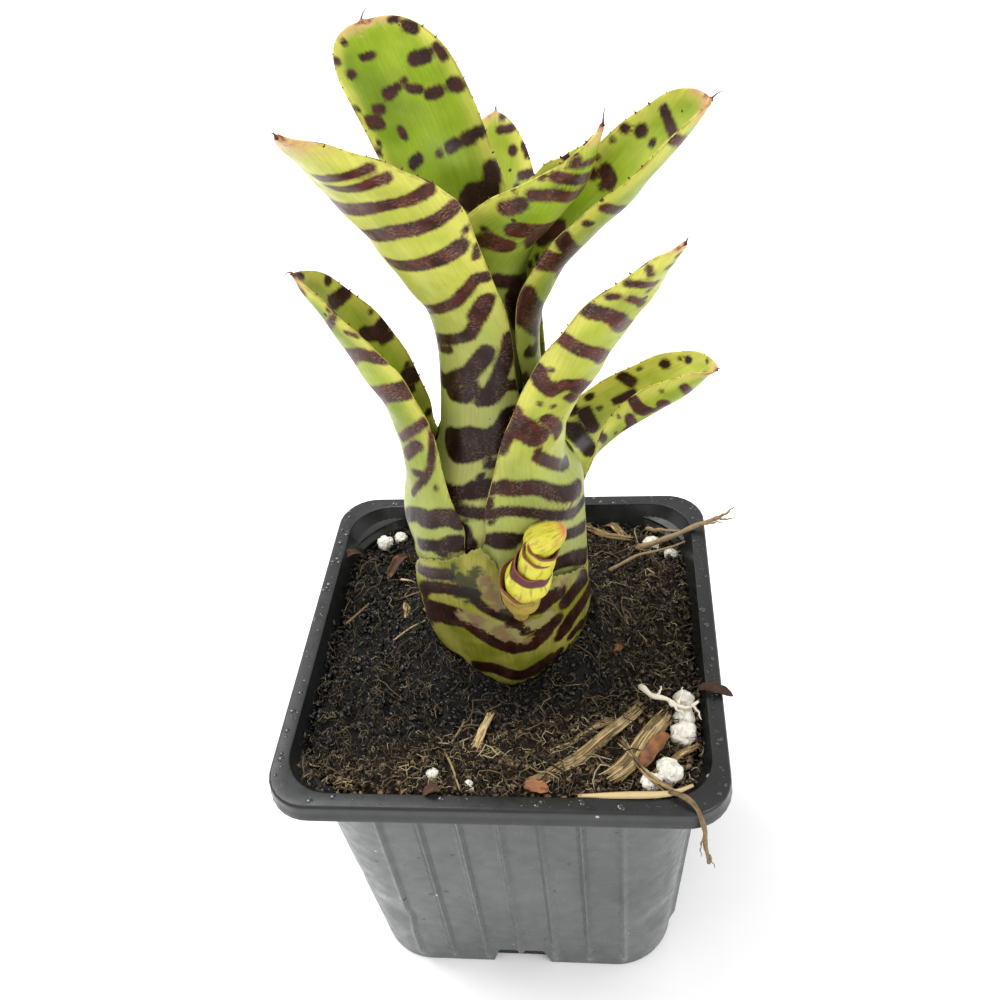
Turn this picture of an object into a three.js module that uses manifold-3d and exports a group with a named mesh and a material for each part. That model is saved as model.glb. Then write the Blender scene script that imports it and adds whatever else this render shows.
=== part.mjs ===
// A young banded bromeliad in a square nursery pot filled with growing mix.
// Lengths are in millimetres and angles in degrees, with +Z up. The origin is the centre of the
// pot's underside, and the side with the torn old leaf base and the side shoot faces -Y.

import * as THREE from "three";
import { mergeVertices } from "three/addons/utils/BufferGeometryUtils.js";
import Module from "manifold-3d";

// Driving dimensions

const CLEARANCE = 0.35; // air between pieces that touch

const POT = {
  height: 80,
  rimHalf: 45,
  rimCorner: 9,
  mouthHalf: 41.3,
  mouthCorner: 9.5,
  lipDepth: 4.4,
  lipThickness: 1.2,
  topHalf: 41.1,
  topCorner: 17.5,
  bottomHalf: 35.5,
  bottomCorner: 13.5,
  footBevel: 0.6,
  wall: 1.0,
  floor: 1.2,
};
const RIB = { count: 7, pitch: 8.1, width: 1.8, height: 0.55, foot: 2 };
const DRAIN = { bottomHalf: 7.3, topHalf: 5.6, height: 6.9, outside: 3, inside: 8 };

const MIX = {
  frontLevel: 77.5,
  backLevel: 74,
  roughness: 0.9,
  bottom: 1.6,
  edgeDrop: 0.8,
  rings: [0.96, 0.86, 0.74, 0.62, 0.5, 0.38],
  barkSides: 5,
  barkSteps: 3,
  lumpFlatness: 0.85,
  lumpRise: 0.35,
  holeSides: 32,
  holeTop: 96,
};
// Lumps of perlite: place and radius
const PERLITE = [
  [-33.2, 33.2, 1.8],
  [-29.8, 35.6, 1.7],
  [32.3, 32.6, 2.2],
  [36.6, 29.1, 1.6],
  [36.9, -16.6, 2.0],
  [36.9, -20.6, 1.9],
  [36.4, -24.9, 2.3],
  [33.2, -34.2, 2.3],
  [29.8, -36.6, 1.9],
  [-12.5, -35.5, 1.2],
];
// Strips of bark and straw lying in the mix: two ends and half width
const BARK = [
  [6, -38.0, 28, -17.4, 0.9],
  [21, -36.2, 33, -18.7, 1.1],
  [15.5, -38.3, 30.3, -37.8, 0.7],
  [-2.4, -20.3, -4.8, -29, 0.7],
];
// The twig that lies on the mix and sticks out over the rim
const TWIG = { radius: 0.7, steps: 5, from: [26, 31.4, 73.6], over: [41, 31.6, 82.8], to: [51.4, 33, 84.6] };

// The bulb of wrapped leaf bases: height, radius of the innermost wrap, and the axis in X.
// The axis in Y stays at AXIS_Y. Every wrap outside the innermost is one WRAP larger in radius.
const BULB = [
  [46, -5.6, -0.3],
  [52, -2, -0.3],
  [58, 1.5, -0.2],
  [64, 4.4, -0.1],
  [71, 7.0, -0.1],
  [79, 8.9, -0.2],
  [87, 10.2, -0.4],
  [96, 11.1, -0.8],
  [104, 11.6, -1.2],
  [112, 11.2, -0.9],
  [119, 10.5, -0.2],
  [125, 9.1, 0.5],
  [131, 7.5, 1.2],
  [139, 6.8, 1.8],
  [150, 6.5, 2.4],
  [160, 6.6, 2.7],
  [170, 6.8, 3],
];
const AXIS_Y = 5;
const WRAP = 1.05;
const INNERMOST = 8;

const LEAF = {
  thickness: 0.65,
  cells: 10,
  bladeStep: 4.2,
  lastRows: [0.96, 0.99],
  smallestBend: 3,
  slopeSpan: 3,
  flatTip: 0.7,
  spine: 0.6,
  toothFrom: 0.35,
  toothTo: 0.65,
  toothHeight: 0.9,
  toothLean: 0.45,
  firstTooth: 0.04,
  lastTooth: 0.9,
  lowestFoot: 55.5,
  footStep: 1.6,
};

// The leaves, from the outermost wrap inwards. Each hugs the bulb up to the height at which it
// parts from it, and then bends out into a channelled blade. Widths are half widths, hug, throat
// and channel are half angles of the curl across, and turn, widest and open are shares of length.
const LEAVES = [
  {
    name: "leaf_right_lower", layer: 1, azimuth: 45, parts: 104, narrowing: 18, hug: 66, throat: 25,
    length: 47, lean: 67, turn: 0.2, curl: -29, sway: -80, twist: 1.4, ease: 8,
    width: 12.2, widest: 0.54, blunt: 2.85, point: 0.72, channel: 105, open: 0.45,
  },
  {
    name: "leaf_left_lower", layer: 2, azimuth: 192, parts: 117, narrowing: 25, hug: 88, throat: 63,
    length: 54.3, lean: 22, turn: 0.61, curl: -1, sway: 9, twist: 3.5, ease: 12,
    width: 11.9, widest: 0.25, blunt: 4.7, point: 0.78, channel: 80, open: 0.5,
  },
  {
    name: "leaf_right_front", layer: 3, azimuth: 330, parts: 119.5, narrowing: 25, hug: 88, throat: 60,
    length: 66.5, lean: 28, turn: 0.37, curl: 5, sway: -7, twist: 15, ease: 12,
    width: 11.3, widest: 0.24, blunt: 2.85, point: 0.84, channel: 68, open: 0.5,
  },
  {
    name: "leaf_back", layer: 4, azimuth: 88, parts: 139, narrowing: 25, hug: 95, throat: 60,
    length: 47.5, lean: 42, turn: 0.62, curl: 1.5, sway: 0, twist: 0, ease: 12,
    width: 10, widest: 0.4, blunt: 2.2, point: 0.65, channel: 46, open: 0.5,
  },
  {
    name: "leaf_left_front", layer: 5, azimuth: 236, parts: 150, narrowing: 25, hug: 95, throat: 62,
    length: 63, lean: 29, turn: 0.24, curl: 16.5, sway: 16.5, twist: 3, ease: 12,
    width: 13.6, widest: 0.6, blunt: 1.26, point: 0.81, channel: 57, open: 0.5,
  },
  {
    name: "leaf_right_upper", layer: 6, azimuth: 3, parts: 145.5, narrowing: 25, hug: 95, throat: 50,
    length: 56, lean: 45.5, turn: 0.52, curl: -8, sway: -15.5, twist: -16.5, ease: 12,
    width: 11.4, widest: 0.43, blunt: 3.3, point: 0.48, channel: 80, open: 0.5,
  },
  {
    name: "leaf_left_back", layer: 7, azimuth: 137, parts: 158, narrowing: 25, hug: 95, throat: 90,
    length: 48, lean: 29, turn: 0.59, curl: 20, sway: -10, twist: 4, ease: 12,
    width: 11, widest: 0.49, blunt: 4.1, point: 0.5, channel: 46, open: 0.5,
  },
  {
    name: "leaf_centre", layer: 8, azimuth: 317, parts: 158, narrowing: 25, hug: 95, throat: 106,
    length: 40, lean: 54, turn: 0.57, curl: -38, sway: 30, twist: 8.5, ease: 12,
    width: 13, widest: 0.5, blunt: 1.76, point: 1, channel: 95, open: 0.5,
  },
];

// The old leaf base whose blade is gone. It lies pressed in on the side away from pressedTowards.
const OLD_SHEATH = {
  name: "old_basal_sheath", layer: 0, azimuth: 268, parts: 124, hug: 100,
  pressed: 0.5, pressedTowards: 340, pressedFrom: 58, pressedFully: 82,
};
// Its torn edge: the height at each azimuth round the bulb, and the reach of what is torn away
const TEAR = { within: 12, beyond: 30, over: 10 };
const TORN_EDGE = [
  [160, 70],
  [172, 86],
  [205, 100],
  [220, 107],
  [232, 110],
  [243, 112.2],
  [252, 114.5],
  [265, 117.3],
  [271, 115.3],
  [275, 113.5],
  [276.6, 112],
  [277.2, 104],
  [280, 100.5],
  [284, 99],
  [289, 98.8],
  [294, 100],
  [298, 103],
  [304, 105.5],
  [313, 105.8],
  [325, 103.5],
  [337, 101.5],
  [345, 99],
  [360, 92],
  [376, 70],
];

const STEM = { tipHeight: 75, baseHeight: 46, baseRadius: 5.2, sides: 16 };
const ROOT = {
  count: 5, radius: 0.8, startHeight: 49, startOut: 2, firstAzimuth: 22, depth: 34, spread: 23,
  shoulderOut: 14, shoulderDrop: 8, steps: 5, sides: 6,
};

// The side shoot: its bent centre line, and for each scale leaf the share of the length at which
// it starts and ends, with its radius at both
const SHOOT_LINE = [
  [3.7, -13.1, 101.6],
  [5.4, -14.6, 108.4],
  [8.7, -13.6, 113.8],
  [14.2, -9.6, 118.2],
];
const SHOOT_SCALES = [
  [0, 0.3, 1.5, 3.1],
  [0.3, 0.52, 2.7, 3.2],
  [0.52, 0.7, 2.7, 2.9],
  [0.7, 0.84, 2.3, 2.3],
  [0.84, 1, 1.6, 0.7],
];
const SHOOT_SIDES = 12;

const COLOURS = {
  pot: { color: 0x54585a, roughness: 0.45, metalness: 0 },
  mix: { color: 0x2b211b, roughness: 0.95, metalness: 0 },
  stem: { color: 0x8f8a5c, roughness: 0.8, metalness: 0 },
  leaf: { color: 0xa3bb3c, roughness: 0.42, metalness: 0 },
  oldLeaf: { color: 0x8a8a55, roughness: 0.6, metalness: 0 },
  shoot: { color: 0xd2cf45, roughness: 0.4, metalness: 0 },
};

// Helpers

const wasm = await Module();
wasm.setup();

const radians = THREE.MathUtils.degToRad;
const lerp = THREE.MathUtils.lerp;

function smoothStep(value, from = 0, to = 1) {
  return THREE.MathUtils.smoothstep(value, from, to);
}

// A value read off a list of rows, straight between the rows
function readOff(rows, at, column) {
  const last = rows.length - 1;
  const clamped = THREE.MathUtils.clamp(at, rows[0][0], rows[last][0]);
  let row = 0;
  while (row < last - 1 && rows[row + 1][0] < clamped) row += 1;
  const share = (clamped - rows[row][0]) / (rows[row + 1][0] - rows[row][0]);
  return lerp(rows[row][column], rows[row + 1][column], share);
}

// A closed geometry from points and triangles, turned so that its faces point out
function closedGeometry(points, triangles) {
  let volume = 0;
  for (const [a, b, c] of triangles) {
    volume += points[a].dot(new THREE.Vector3().crossVectors(points[b], points[c]));
  }
  const index = triangles.flatMap(([a, b, c]) => (volume > 0 ? [a, b, c] : [a, c, b]));
  const geometry = new THREE.BufferGeometry();
  geometry.setAttribute("position", new THREE.Float32BufferAttribute(points.flatMap((p) => p.toArray()), 3));
  geometry.setIndex(index);
  return geometry;
}

// A solid through loops of equal length, closed at both ends with a fan round a middle point
function loft(loops, startMiddle, endMiddle) {
  const size = loops[0].length;
  const points = loops.flat();
  const triangles = [];
  const start = points.push(startMiddle) - 1;
  const end = points.push(endMiddle) - 1;
  const top = (loops.length - 1) * size;
  for (let j = 0; j < size; j += 1) {
    const next = (j + 1) % size;
    for (let i = 0; i < loops.length - 1; i += 1) {
      const low = i * size;
      const high = low + size;
      triangles.push([low + j, low + next, high + next], [low + j, high + next, high + j]);
    }
    triangles.push([start, next, j], [end, top + j, top + next]);
  }
  return closedGeometry(points, triangles);
}

function solidOf(geometry) {
  const bare = geometry.clone();
  bare.deleteAttribute("normal");
  bare.deleteAttribute("uv");
  const merged = mergeVertices(bare, 1e-4);
  const mesh = new wasm.Mesh({
    numProp: 3,
    vertProperties: new Float32Array(merged.attributes.position.array),
    triVerts: new Uint32Array(merged.index.array),
  });
  return new wasm.Manifold(mesh);
}

function geometryOf(solid) {
  const mesh = solid.getMesh();
  const geometry = new THREE.BufferGeometry();
  geometry.setAttribute("position", new THREE.Float32BufferAttribute(mesh.vertProperties, 3));
  geometry.setIndex(new THREE.Uint32BufferAttribute(mesh.triVerts, 1));
  return geometry;
}

function regularShape(sides, radius) {
  const corners = [];
  for (let i = 0; i < sides; i += 1) {
    const angle = (2 * Math.PI * i) / sides;
    corners.push(new THREE.Vector2(radius * Math.cos(angle), radius * Math.sin(angle)));
  }
  return new THREE.Shape(corners);
}

function tube(path, radius, sides, steps) {
  return new THREE.ExtrudeGeometry(regularShape(sides, radius), { steps, extrudePath: path });
}

// The pot

// Points round a rounded square, rib by rib along each side and then round the corner
function squareLoop(half, corner, z, ribHeight = 0) {
  const straight = half - corner;
  const edge = (x) => {
    const past = Math.max(Math.abs(x) - straight, 0);
    return half - corner + Math.sqrt(corner * corner - past * past);
  };
  const side = [];
  for (let rib = 0; rib < RIB.count; rib += 1) {
    const centre = (rib - (RIB.count - 1) / 2) * RIB.pitch;
    for (const step of [-1, 0, 1]) {
      const x = centre + (step * RIB.width) / 2;
      side.push([x, edge(x) + (step === 0 ? ribHeight : 0)]);
    }
  }
  const cornerAngles = [17, 31, 45, 59, 73];
  for (const angle of cornerAngles) {
    side.push([straight + corner * Math.sin(radians(angle)), straight + corner * Math.cos(radians(angle))]);
  }
  const loop = [];
  for (const turn of [0, 270, 180, 90]) {
    for (const [x, out] of side) {
      const point = new THREE.Vector3(x, out, z);
      loop.push(point.applyAxisAngle(new THREE.Vector3(0, 0, 1), radians(turn)));
    }
  }
  return loop;
}

const wallHalf = (z) => lerp(POT.bottomHalf, POT.topHalf, z / POT.height);
const wallCorner = (z) => lerp(POT.bottomCorner, POT.topCorner, z / POT.height);

function potSolid() {
  const lipBottom = POT.height - POT.lipDepth;
  const groove = POT.height - POT.lipThickness;
  const bevel = POT.footBevel;
  const inner = (z, gap) => squareLoop(wallHalf(z) - gap, wallCorner(z) - gap, z);
  const loops = [
    squareLoop(POT.bottomHalf - bevel, POT.bottomCorner - bevel, 0),
    squareLoop(wallHalf(bevel), wallCorner(bevel), bevel),
    squareLoop(wallHalf(RIB.foot), wallCorner(RIB.foot), RIB.foot, RIB.height),
    squareLoop(wallHalf(lipBottom), wallCorner(lipBottom), lipBottom, RIB.height),
    squareLoop(POT.mouthHalf + POT.wall, POT.mouthCorner + POT.wall, groove),
    squareLoop(POT.rimHalf - POT.lipThickness, POT.rimCorner - POT.lipThickness, groove),
    squareLoop(POT.rimHalf - POT.lipThickness, POT.rimCorner - POT.lipThickness, lipBottom),
    squareLoop(POT.rimHalf, POT.rimCorner, lipBottom),
    squareLoop(POT.rimHalf, POT.rimCorner, POT.height),
    squareLoop(POT.mouthHalf, POT.mouthCorner, POT.height),
    inner(lipBottom, POT.wall),
    inner(POT.floor, POT.wall),
  ];
  const shell = loft(loops, new THREE.Vector3(0, 0, 0), new THREE.Vector3(0, 0, POT.floor));
  let solid = solidOf(shell);
  const arch = new THREE.Shape([
    new THREE.Vector2(-DRAIN.bottomHalf, -1),
    new THREE.Vector2(DRAIN.bottomHalf, -1),
    new THREE.Vector2(DRAIN.topHalf, DRAIN.height),
    new THREE.Vector2(-DRAIN.topHalf, DRAIN.height),
  ]);
  const slot = new THREE.ExtrudeGeometry(arch, { depth: DRAIN.outside + DRAIN.inside, bevelEnabled: false });
  slot.rotateX(Math.PI / 2);
  slot.translate(0, POT.bottomHalf + DRAIN.outside, 0);
  for (let side = 0; side < 4; side += 1) {
    solid = solid.subtract(solidOf(slot));
    slot.rotateZ(Math.PI / 2);
  }
  return geometryOf(solid);
}

// The bulb's wraps and the leaves

const bulbRadius = (z, layer) => readOff(BULB, z, 1) + WRAP * (INNERMOST - layer);
const bulbAxis = (z) => new THREE.Vector3(readOff(BULB, z, 2), AXIS_Y, z);
const footOf = (layer) => LEAF.lowestFoot + LEAF.footStep * layer;
const around = (angle) => new THREE.Vector3(Math.cos(angle), Math.sin(angle), 0);

// Rows up the wrapped base: the mid line, the inward and sideways directions, and the bend across
function sheathRows(leaf) {
  const foot = footOf(leaf.layer);
  const heights = [foot, ...BULB.map(([z]) => z).filter((z) => z > foot + 1 && z < leaf.parts - 1), leaf.parts];
  const out = around(radians(leaf.azimuth));
  return heights.map((z) => {
    const narrowed = leaf.throat === undefined ? 0 : smoothStep(z, leaf.parts - leaf.narrowing, leaf.parts);
    const pressed = leaf.pressed ? leaf.pressed * smoothStep(z, leaf.pressedFrom, leaf.pressedFully) : 0;
    const radius = bulbRadius(z, leaf.layer) - pressed;
    const centre = bulbAxis(z).addScaledVector(around(radians(leaf.pressedTowards ?? 0)), pressed);
    return {
      middle: centre.addScaledVector(out, radius),
      inward: out.clone().negate(),
      sideways: around(radians(leaf.azimuth + 90)),
      bend: radians(lerp(leaf.hug, leaf.throat ?? leaf.hug, narrowed)),
      radius,
    };
  });
}

// Half width along the blade: it swells to its widest, then runs out to the tip
function bladeHalfWidth(leaf, throatWidth, share) {
  const swelling = lerp(throatWidth, leaf.width, smoothStep(share, 0, leaf.widest));
  const past = Math.max(share - leaf.widest, 0) / (1 - leaf.widest);
  return swelling * Math.pow(1 - Math.pow(past, leaf.blunt), leaf.point);
}

function bladeRows(leaf, throat) {
  const rows = [];
  const steps = Math.round(leaf.length / LEAF.bladeStep);
  const even = [...Array(steps - 1).keys()].map((step) => (step + 1) / steps);
  const shares = [...even, ...LEAF.lastRows];
  const fine = 8;
  const near = LEAF.slopeSpan;
  const rise = (bulbRadius(leaf.parts + near, 0) - bulbRadius(leaf.parts - near, 0)) / (2 * near);
  const middle = throat.middle.clone();
  const up = new THREE.Vector3(0, 0, 1);
  for (let step = 1; step <= shares.length * fine; step += 1) {
    const row = Math.ceil(step / fine) - 1;
    const from = row > 0 ? shares[row - 1] : 0;
    const share = from + ((shares[row] - from) * (step - row * fine)) / fine;
    const travelled = share * leaf.length;
    const lean = lerp(Math.atan(rise), radians(leaf.lean), smoothStep(share / leaf.turn))
      + radians(leaf.curl) * smoothStep(share, 0.35, 1);
    const heading = radians(leaf.azimuth + leaf.sway * smoothStep(share));
    const out = around(heading);
    const along = out.clone().multiplyScalar(Math.sin(lean)).addScaledVector(up, Math.cos(lean));
    middle.addScaledVector(along, ((shares[row] - from) * leaf.length) / fine);
    if (step % fine !== 0) continue;
    const tilt = smoothStep(travelled, 0, leaf.ease);
    const across = around(heading + Math.PI / 2);
    const face = out.clone().multiplyScalar(-Math.cos(lean)).addScaledVector(up, Math.sin(lean));
    const inward = out.clone().multiplyScalar(tilt - 1).addScaledVector(face, tilt).normalize();
    const twist = radians(leaf.twist) * smoothStep(share);
    const halfWidth = bladeHalfWidth(leaf, throat.bend * throat.radius, share);
    const wanted = lerp(throat.bend, radians(leaf.channel), smoothStep(share, 0, leaf.open))
      * lerp(1, LEAF.flatTip, smoothStep(share, 0.5, 1));
    const bend = Math.min(wanted, halfWidth / LEAF.smallestBend);
    rows.push({
      middle: middle.clone(),
      inward: inward.clone().multiplyScalar(Math.cos(twist)).addScaledVector(across, Math.sin(twist)),
      sideways: across.clone().multiplyScalar(Math.cos(twist)).addScaledVector(inward, -Math.sin(twist)),
      along,
      bend,
      radius: halfWidth / bend,
      toothed: share > LEAF.firstTooth && share < LEAF.lastTooth,
    });
  }
  return rows;
}

// A point of a row: u runs from -1 to 1 across, and depth is measured in from the outer face
function rowPoint(row, u, depth) {
  const angle = u * row.bend;
  return row.middle.clone()
    .addScaledVector(row.inward, row.radius - (row.radius - depth) * Math.cos(angle))
    .addScaledVector(row.sideways, (row.radius - depth) * Math.sin(angle));
}

// A leaf shell through its rows. A toothed margin segment carries one small forward tooth, and a
// blade ends in a spine. Both faces are split into triangles alike.
function leafShell(rows, spine) {
  const points = [];
  const triangles = [];
  const count = LEAF.cells + 1;
  const faces = [0, LEAF.thickness].map((depth) => rows.map((row) => {
    const line = [];
    for (let j = 0; j < count; j += 1) {
      line.push(points.push(rowPoint(row, (2 * j) / LEAF.cells - 1, depth)) - 1);
    }
    return line;
  }));
  const [outer, inner] = faces;
  const quad = (a, b, c, d) => triangles.push([a, b, c], [a, c, d]);

  // A cell on one margin, with the tooth's two feet set into its edge
  const toothedCell = (i, edge, beside, side) => {
    const row = rows[i];
    const outwards = points[outer[i][edge]].clone().sub(points[outer[i][beside]]).normalize();
    const feet = faces.map((face) => [LEAF.toothFrom, LEAF.toothTo].map((share) => {
      const foot = points[face[i][edge]].clone().lerp(points[face[i + 1][edge]], share);
      return points.push(foot) - 1;
    }));
    const middle = new THREE.Vector3();
    for (const foot of feet.flat()) middle.addScaledVector(points[foot], 0.25);
    const forwards = rows[i + 1].middle.clone().sub(row.middle).normalize();
    middle.addScaledVector(outwards, LEAF.toothHeight).addScaledVector(forwards, LEAF.toothLean);
    const tip = points.push(middle) - 1;
    faces.forEach((face, f) => {
      const [low, high] = feet[f];
      const fan = [face[i][edge], low, high, face[i + 1][edge], face[i + 1][beside]];
      for (let k = 0; k < fan.length - 1; k += 1) {
        const triangle = [face[i][beside], fan[k], fan[k + 1]];
        triangles.push(f === side ? triangle.reverse() : triangle);
      }
    });
    const [outerFeet, innerFeet] = feet;
    const rim = [
      [outer[i][edge], outerFeet[0], innerFeet[0], inner[i][edge]],
      [outerFeet[1], outer[i + 1][edge], inner[i + 1][edge], innerFeet[1]],
    ];
    const loop = [outerFeet[0], outerFeet[1], innerFeet[1], innerFeet[0]];
    if (side === 0) {
      rim.forEach((r) => quad(...r));
      loop.forEach((p, k) => triangles.push([p, loop[(k + 1) % 4], tip]));
    } else {
      rim.forEach((r) => quad(...r.reverse()));
      loop.forEach((p, k) => triangles.push([loop[(k + 1) % 4], p, tip]));
    }
  };

  for (let i = 0; i < rows.length - 1; i += 1) {
    const toothed = Boolean(rows[i].toothed);
    const from = toothed ? 1 : 0;
    const to = toothed ? LEAF.cells - 1 : LEAF.cells;
    for (let j = from; j < to; j += 1) {
      quad(outer[i][j], outer[i + 1][j], outer[i + 1][j + 1], outer[i][j + 1]);
      quad(inner[i][j], inner[i][j + 1], inner[i + 1][j + 1], inner[i + 1][j]);
    }
    if (toothed) {
      toothedCell(i, 0, 1, 1);
      toothedCell(i, LEAF.cells, LEAF.cells - 1, 0);
    } else {
      quad(outer[i][0], inner[i][0], inner[i + 1][0], outer[i + 1][0]);
      quad(outer[i][LEAF.cells], outer[i + 1][LEAF.cells], inner[i + 1][LEAF.cells], inner[i][LEAF.cells]);
    }
  }
  const last = rows.length - 1;
  for (let j = 0; j < LEAF.cells; j += 1) {
    quad(outer[0][j], outer[0][j + 1], inner[0][j + 1], inner[0][j]);
    if (!spine) quad(outer[last][j + 1], outer[last][j], inner[last][j], inner[last][j + 1]);
  }
  if (spine) {
    const apex = points.push(spine) - 1;
    const ring = [...outer[last], ...inner[last].slice().reverse()];
    ring.forEach((p, k) => triangles.push([ring[(k + 1) % ring.length], p, apex]));
  }
  return closedGeometry(points, triangles);
}

function leafGeometry(leaf) {
  const sheath = sheathRows(leaf);
  const blade = bladeRows(leaf, sheath[sheath.length - 1]);
  const end = blade[blade.length - 1];
  const reach = (1 - LEAF.lastRows[1]) * leaf.length + LEAF.spine;
  return leafShell([...sheath, ...blade], rowPoint(end, 0, LEAF.thickness / 2).addScaledVector(end.along, reach));
}

// The old base is a plain wrap, and all of it above the torn edge is cut away
function oldSheathGeometry() {
  const wrap = solidOf(leafShell(sheathRows(OLD_SHEATH), null));
  const top = OLD_SHEATH.parts + TEAR.over;
  const rim = (radius, height) => TORN_EDGE.map(([angle, z]) => {
    const point = around(radians(angle)).multiplyScalar(radius);
    return point.add(new THREE.Vector3(bulbAxis(z).x, AXIS_Y, height ?? z));
  });
  const loops = [rim(TEAR.within), rim(TEAR.beyond), rim(TEAR.beyond, top), rim(TEAR.within, top)];
  const points = loops.flat();
  const size = TORN_EDGE.length;
  const triangles = [];
  for (let j = 0; j < size - 1; j += 1) {
    for (let side = 0; side < 4; side += 1) {
      const a = side * size + j;
      const b = ((side + 1) % 4) * size + j;
      triangles.push([a, b, b + 1], [a, b + 1, a + 1]);
    }
  }
  for (const [end, turned] of [[0, true], [size - 1, false]]) {
    const [a, b, c, d] = [0, 1, 2, 3].map((side) => side * size + end);
    triangles.push(turned ? [a, c, b] : [a, b, c], turned ? [a, d, c] : [a, c, d]);
  }
  return geometryOf(wrap.subtract(solidOf(closedGeometry(points, triangles))));
}

// The stem and its roots

function ringLoop(centre, radius, sides) {
  const loop = [];
  for (let j = 0; j < sides; j += 1) {
    loop.push(centre.clone().addScaledVector(around((2 * Math.PI * j) / sides), radius));
  }
  return loop;
}

// The stem fills the foot of each wrap in turn, so that every leaf base sits round it
function stemLevels() {
  const levels = [[STEM.baseHeight, STEM.baseRadius]];
  for (let layer = 0; layer <= INNERMOST; layer += 1) {
    const z = footOf(layer);
    levels.push([z, bulbRadius(z, layer) - LEAF.thickness - CLEARANCE]);
  }
  return levels;
}

function rootPath(number) {
  const angle = radians(ROOT.firstAzimuth + (360 * number) / ROOT.count);
  const start = bulbAxis(ROOT.startHeight);
  const out = around(angle);
  const reach = start.clone().addScaledVector(out, ROOT.spread);
  const shoulder = start.clone().addScaledVector(out, ROOT.shoulderOut);
  reach.z -= ROOT.depth;
  shoulder.z -= ROOT.shoulderDrop;
  return new THREE.QuadraticBezierCurve3(start.addScaledVector(out, ROOT.startOut), shoulder, reach);
}

function stemGeometry() {
  const levels = stemLevels();
  const loops = levels.map(([z, radius]) => ringLoop(bulbAxis(z), radius, STEM.sides));
  const body = loft(loops, bulbAxis(STEM.baseHeight), bulbAxis(STEM.tipHeight));
  let solid = solidOf(body);
  for (let number = 0; number < ROOT.count; number += 1) {
    solid = solid.add(solidOf(tube(rootPath(number), ROOT.radius, ROOT.sides, ROOT.steps)));
  }
  return geometryOf(solid);
}

// The growing mix

function mixLevel(x, y) {
  const slope = lerp(MIX.frontLevel, MIX.backLevel, (y + POT.topHalf) / (2 * POT.topHalf));
  const coarse = Math.sin(x / 3.7 + 1.1) * Math.cos(y / 4.3 - 0.4);
  const fine = Math.sin(x / 1.9 - y / 2.6) * Math.cos(y / 1.7 + x / 5.1);
  return slope + MIX.roughness * (0.6 * coarse + 0.4 * fine);
}

function plainLoop(half, corner, z) {
  const straight = half - corner;
  const loop = [];
  for (const turn of [0, 90, 180, 270]) {
    const corners = [-1, -0.5, 0, 0.5].map((share) => [half, share * straight]);
    for (const angle of [0, 22.5, 45, 67.5]) {
      const across = corner * Math.cos(radians(angle));
      corners.push([straight + across, straight + corner * Math.sin(radians(angle))]);
    }
    for (const [x, y] of corners) {
      loop.push(new THREE.Vector3(x, y, z).applyAxisAngle(new THREE.Vector3(0, 0, 1), radians(turn)));
    }
  }
  return loop;
}

function perliteLump([x, y, radius], number) {
  const lump = new THREE.IcosahedronGeometry(radius, 0);
  lump.rotateX(number);
  lump.rotateZ(2 * number);
  lump.scale(1, 1, MIX.lumpFlatness);
  lump.translate(x, y, mixLevel(x, y) + MIX.lumpRise * radius);
  return lump;
}

function barkStrip([fromX, fromY, toX, toY, half]) {
  const from = new THREE.Vector3(fromX, fromY, mixLevel(fromX, fromY) - half);
  const to = new THREE.Vector3(toX, toY, mixLevel(toX, toY) - half);
  const middle = from.clone().lerp(to, 0.5);
  middle.z += 2 * half;
  return tube(new THREE.QuadraticBezierCurve3(from, middle, to), half, MIX.barkSides, MIX.barkSteps);
}

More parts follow.
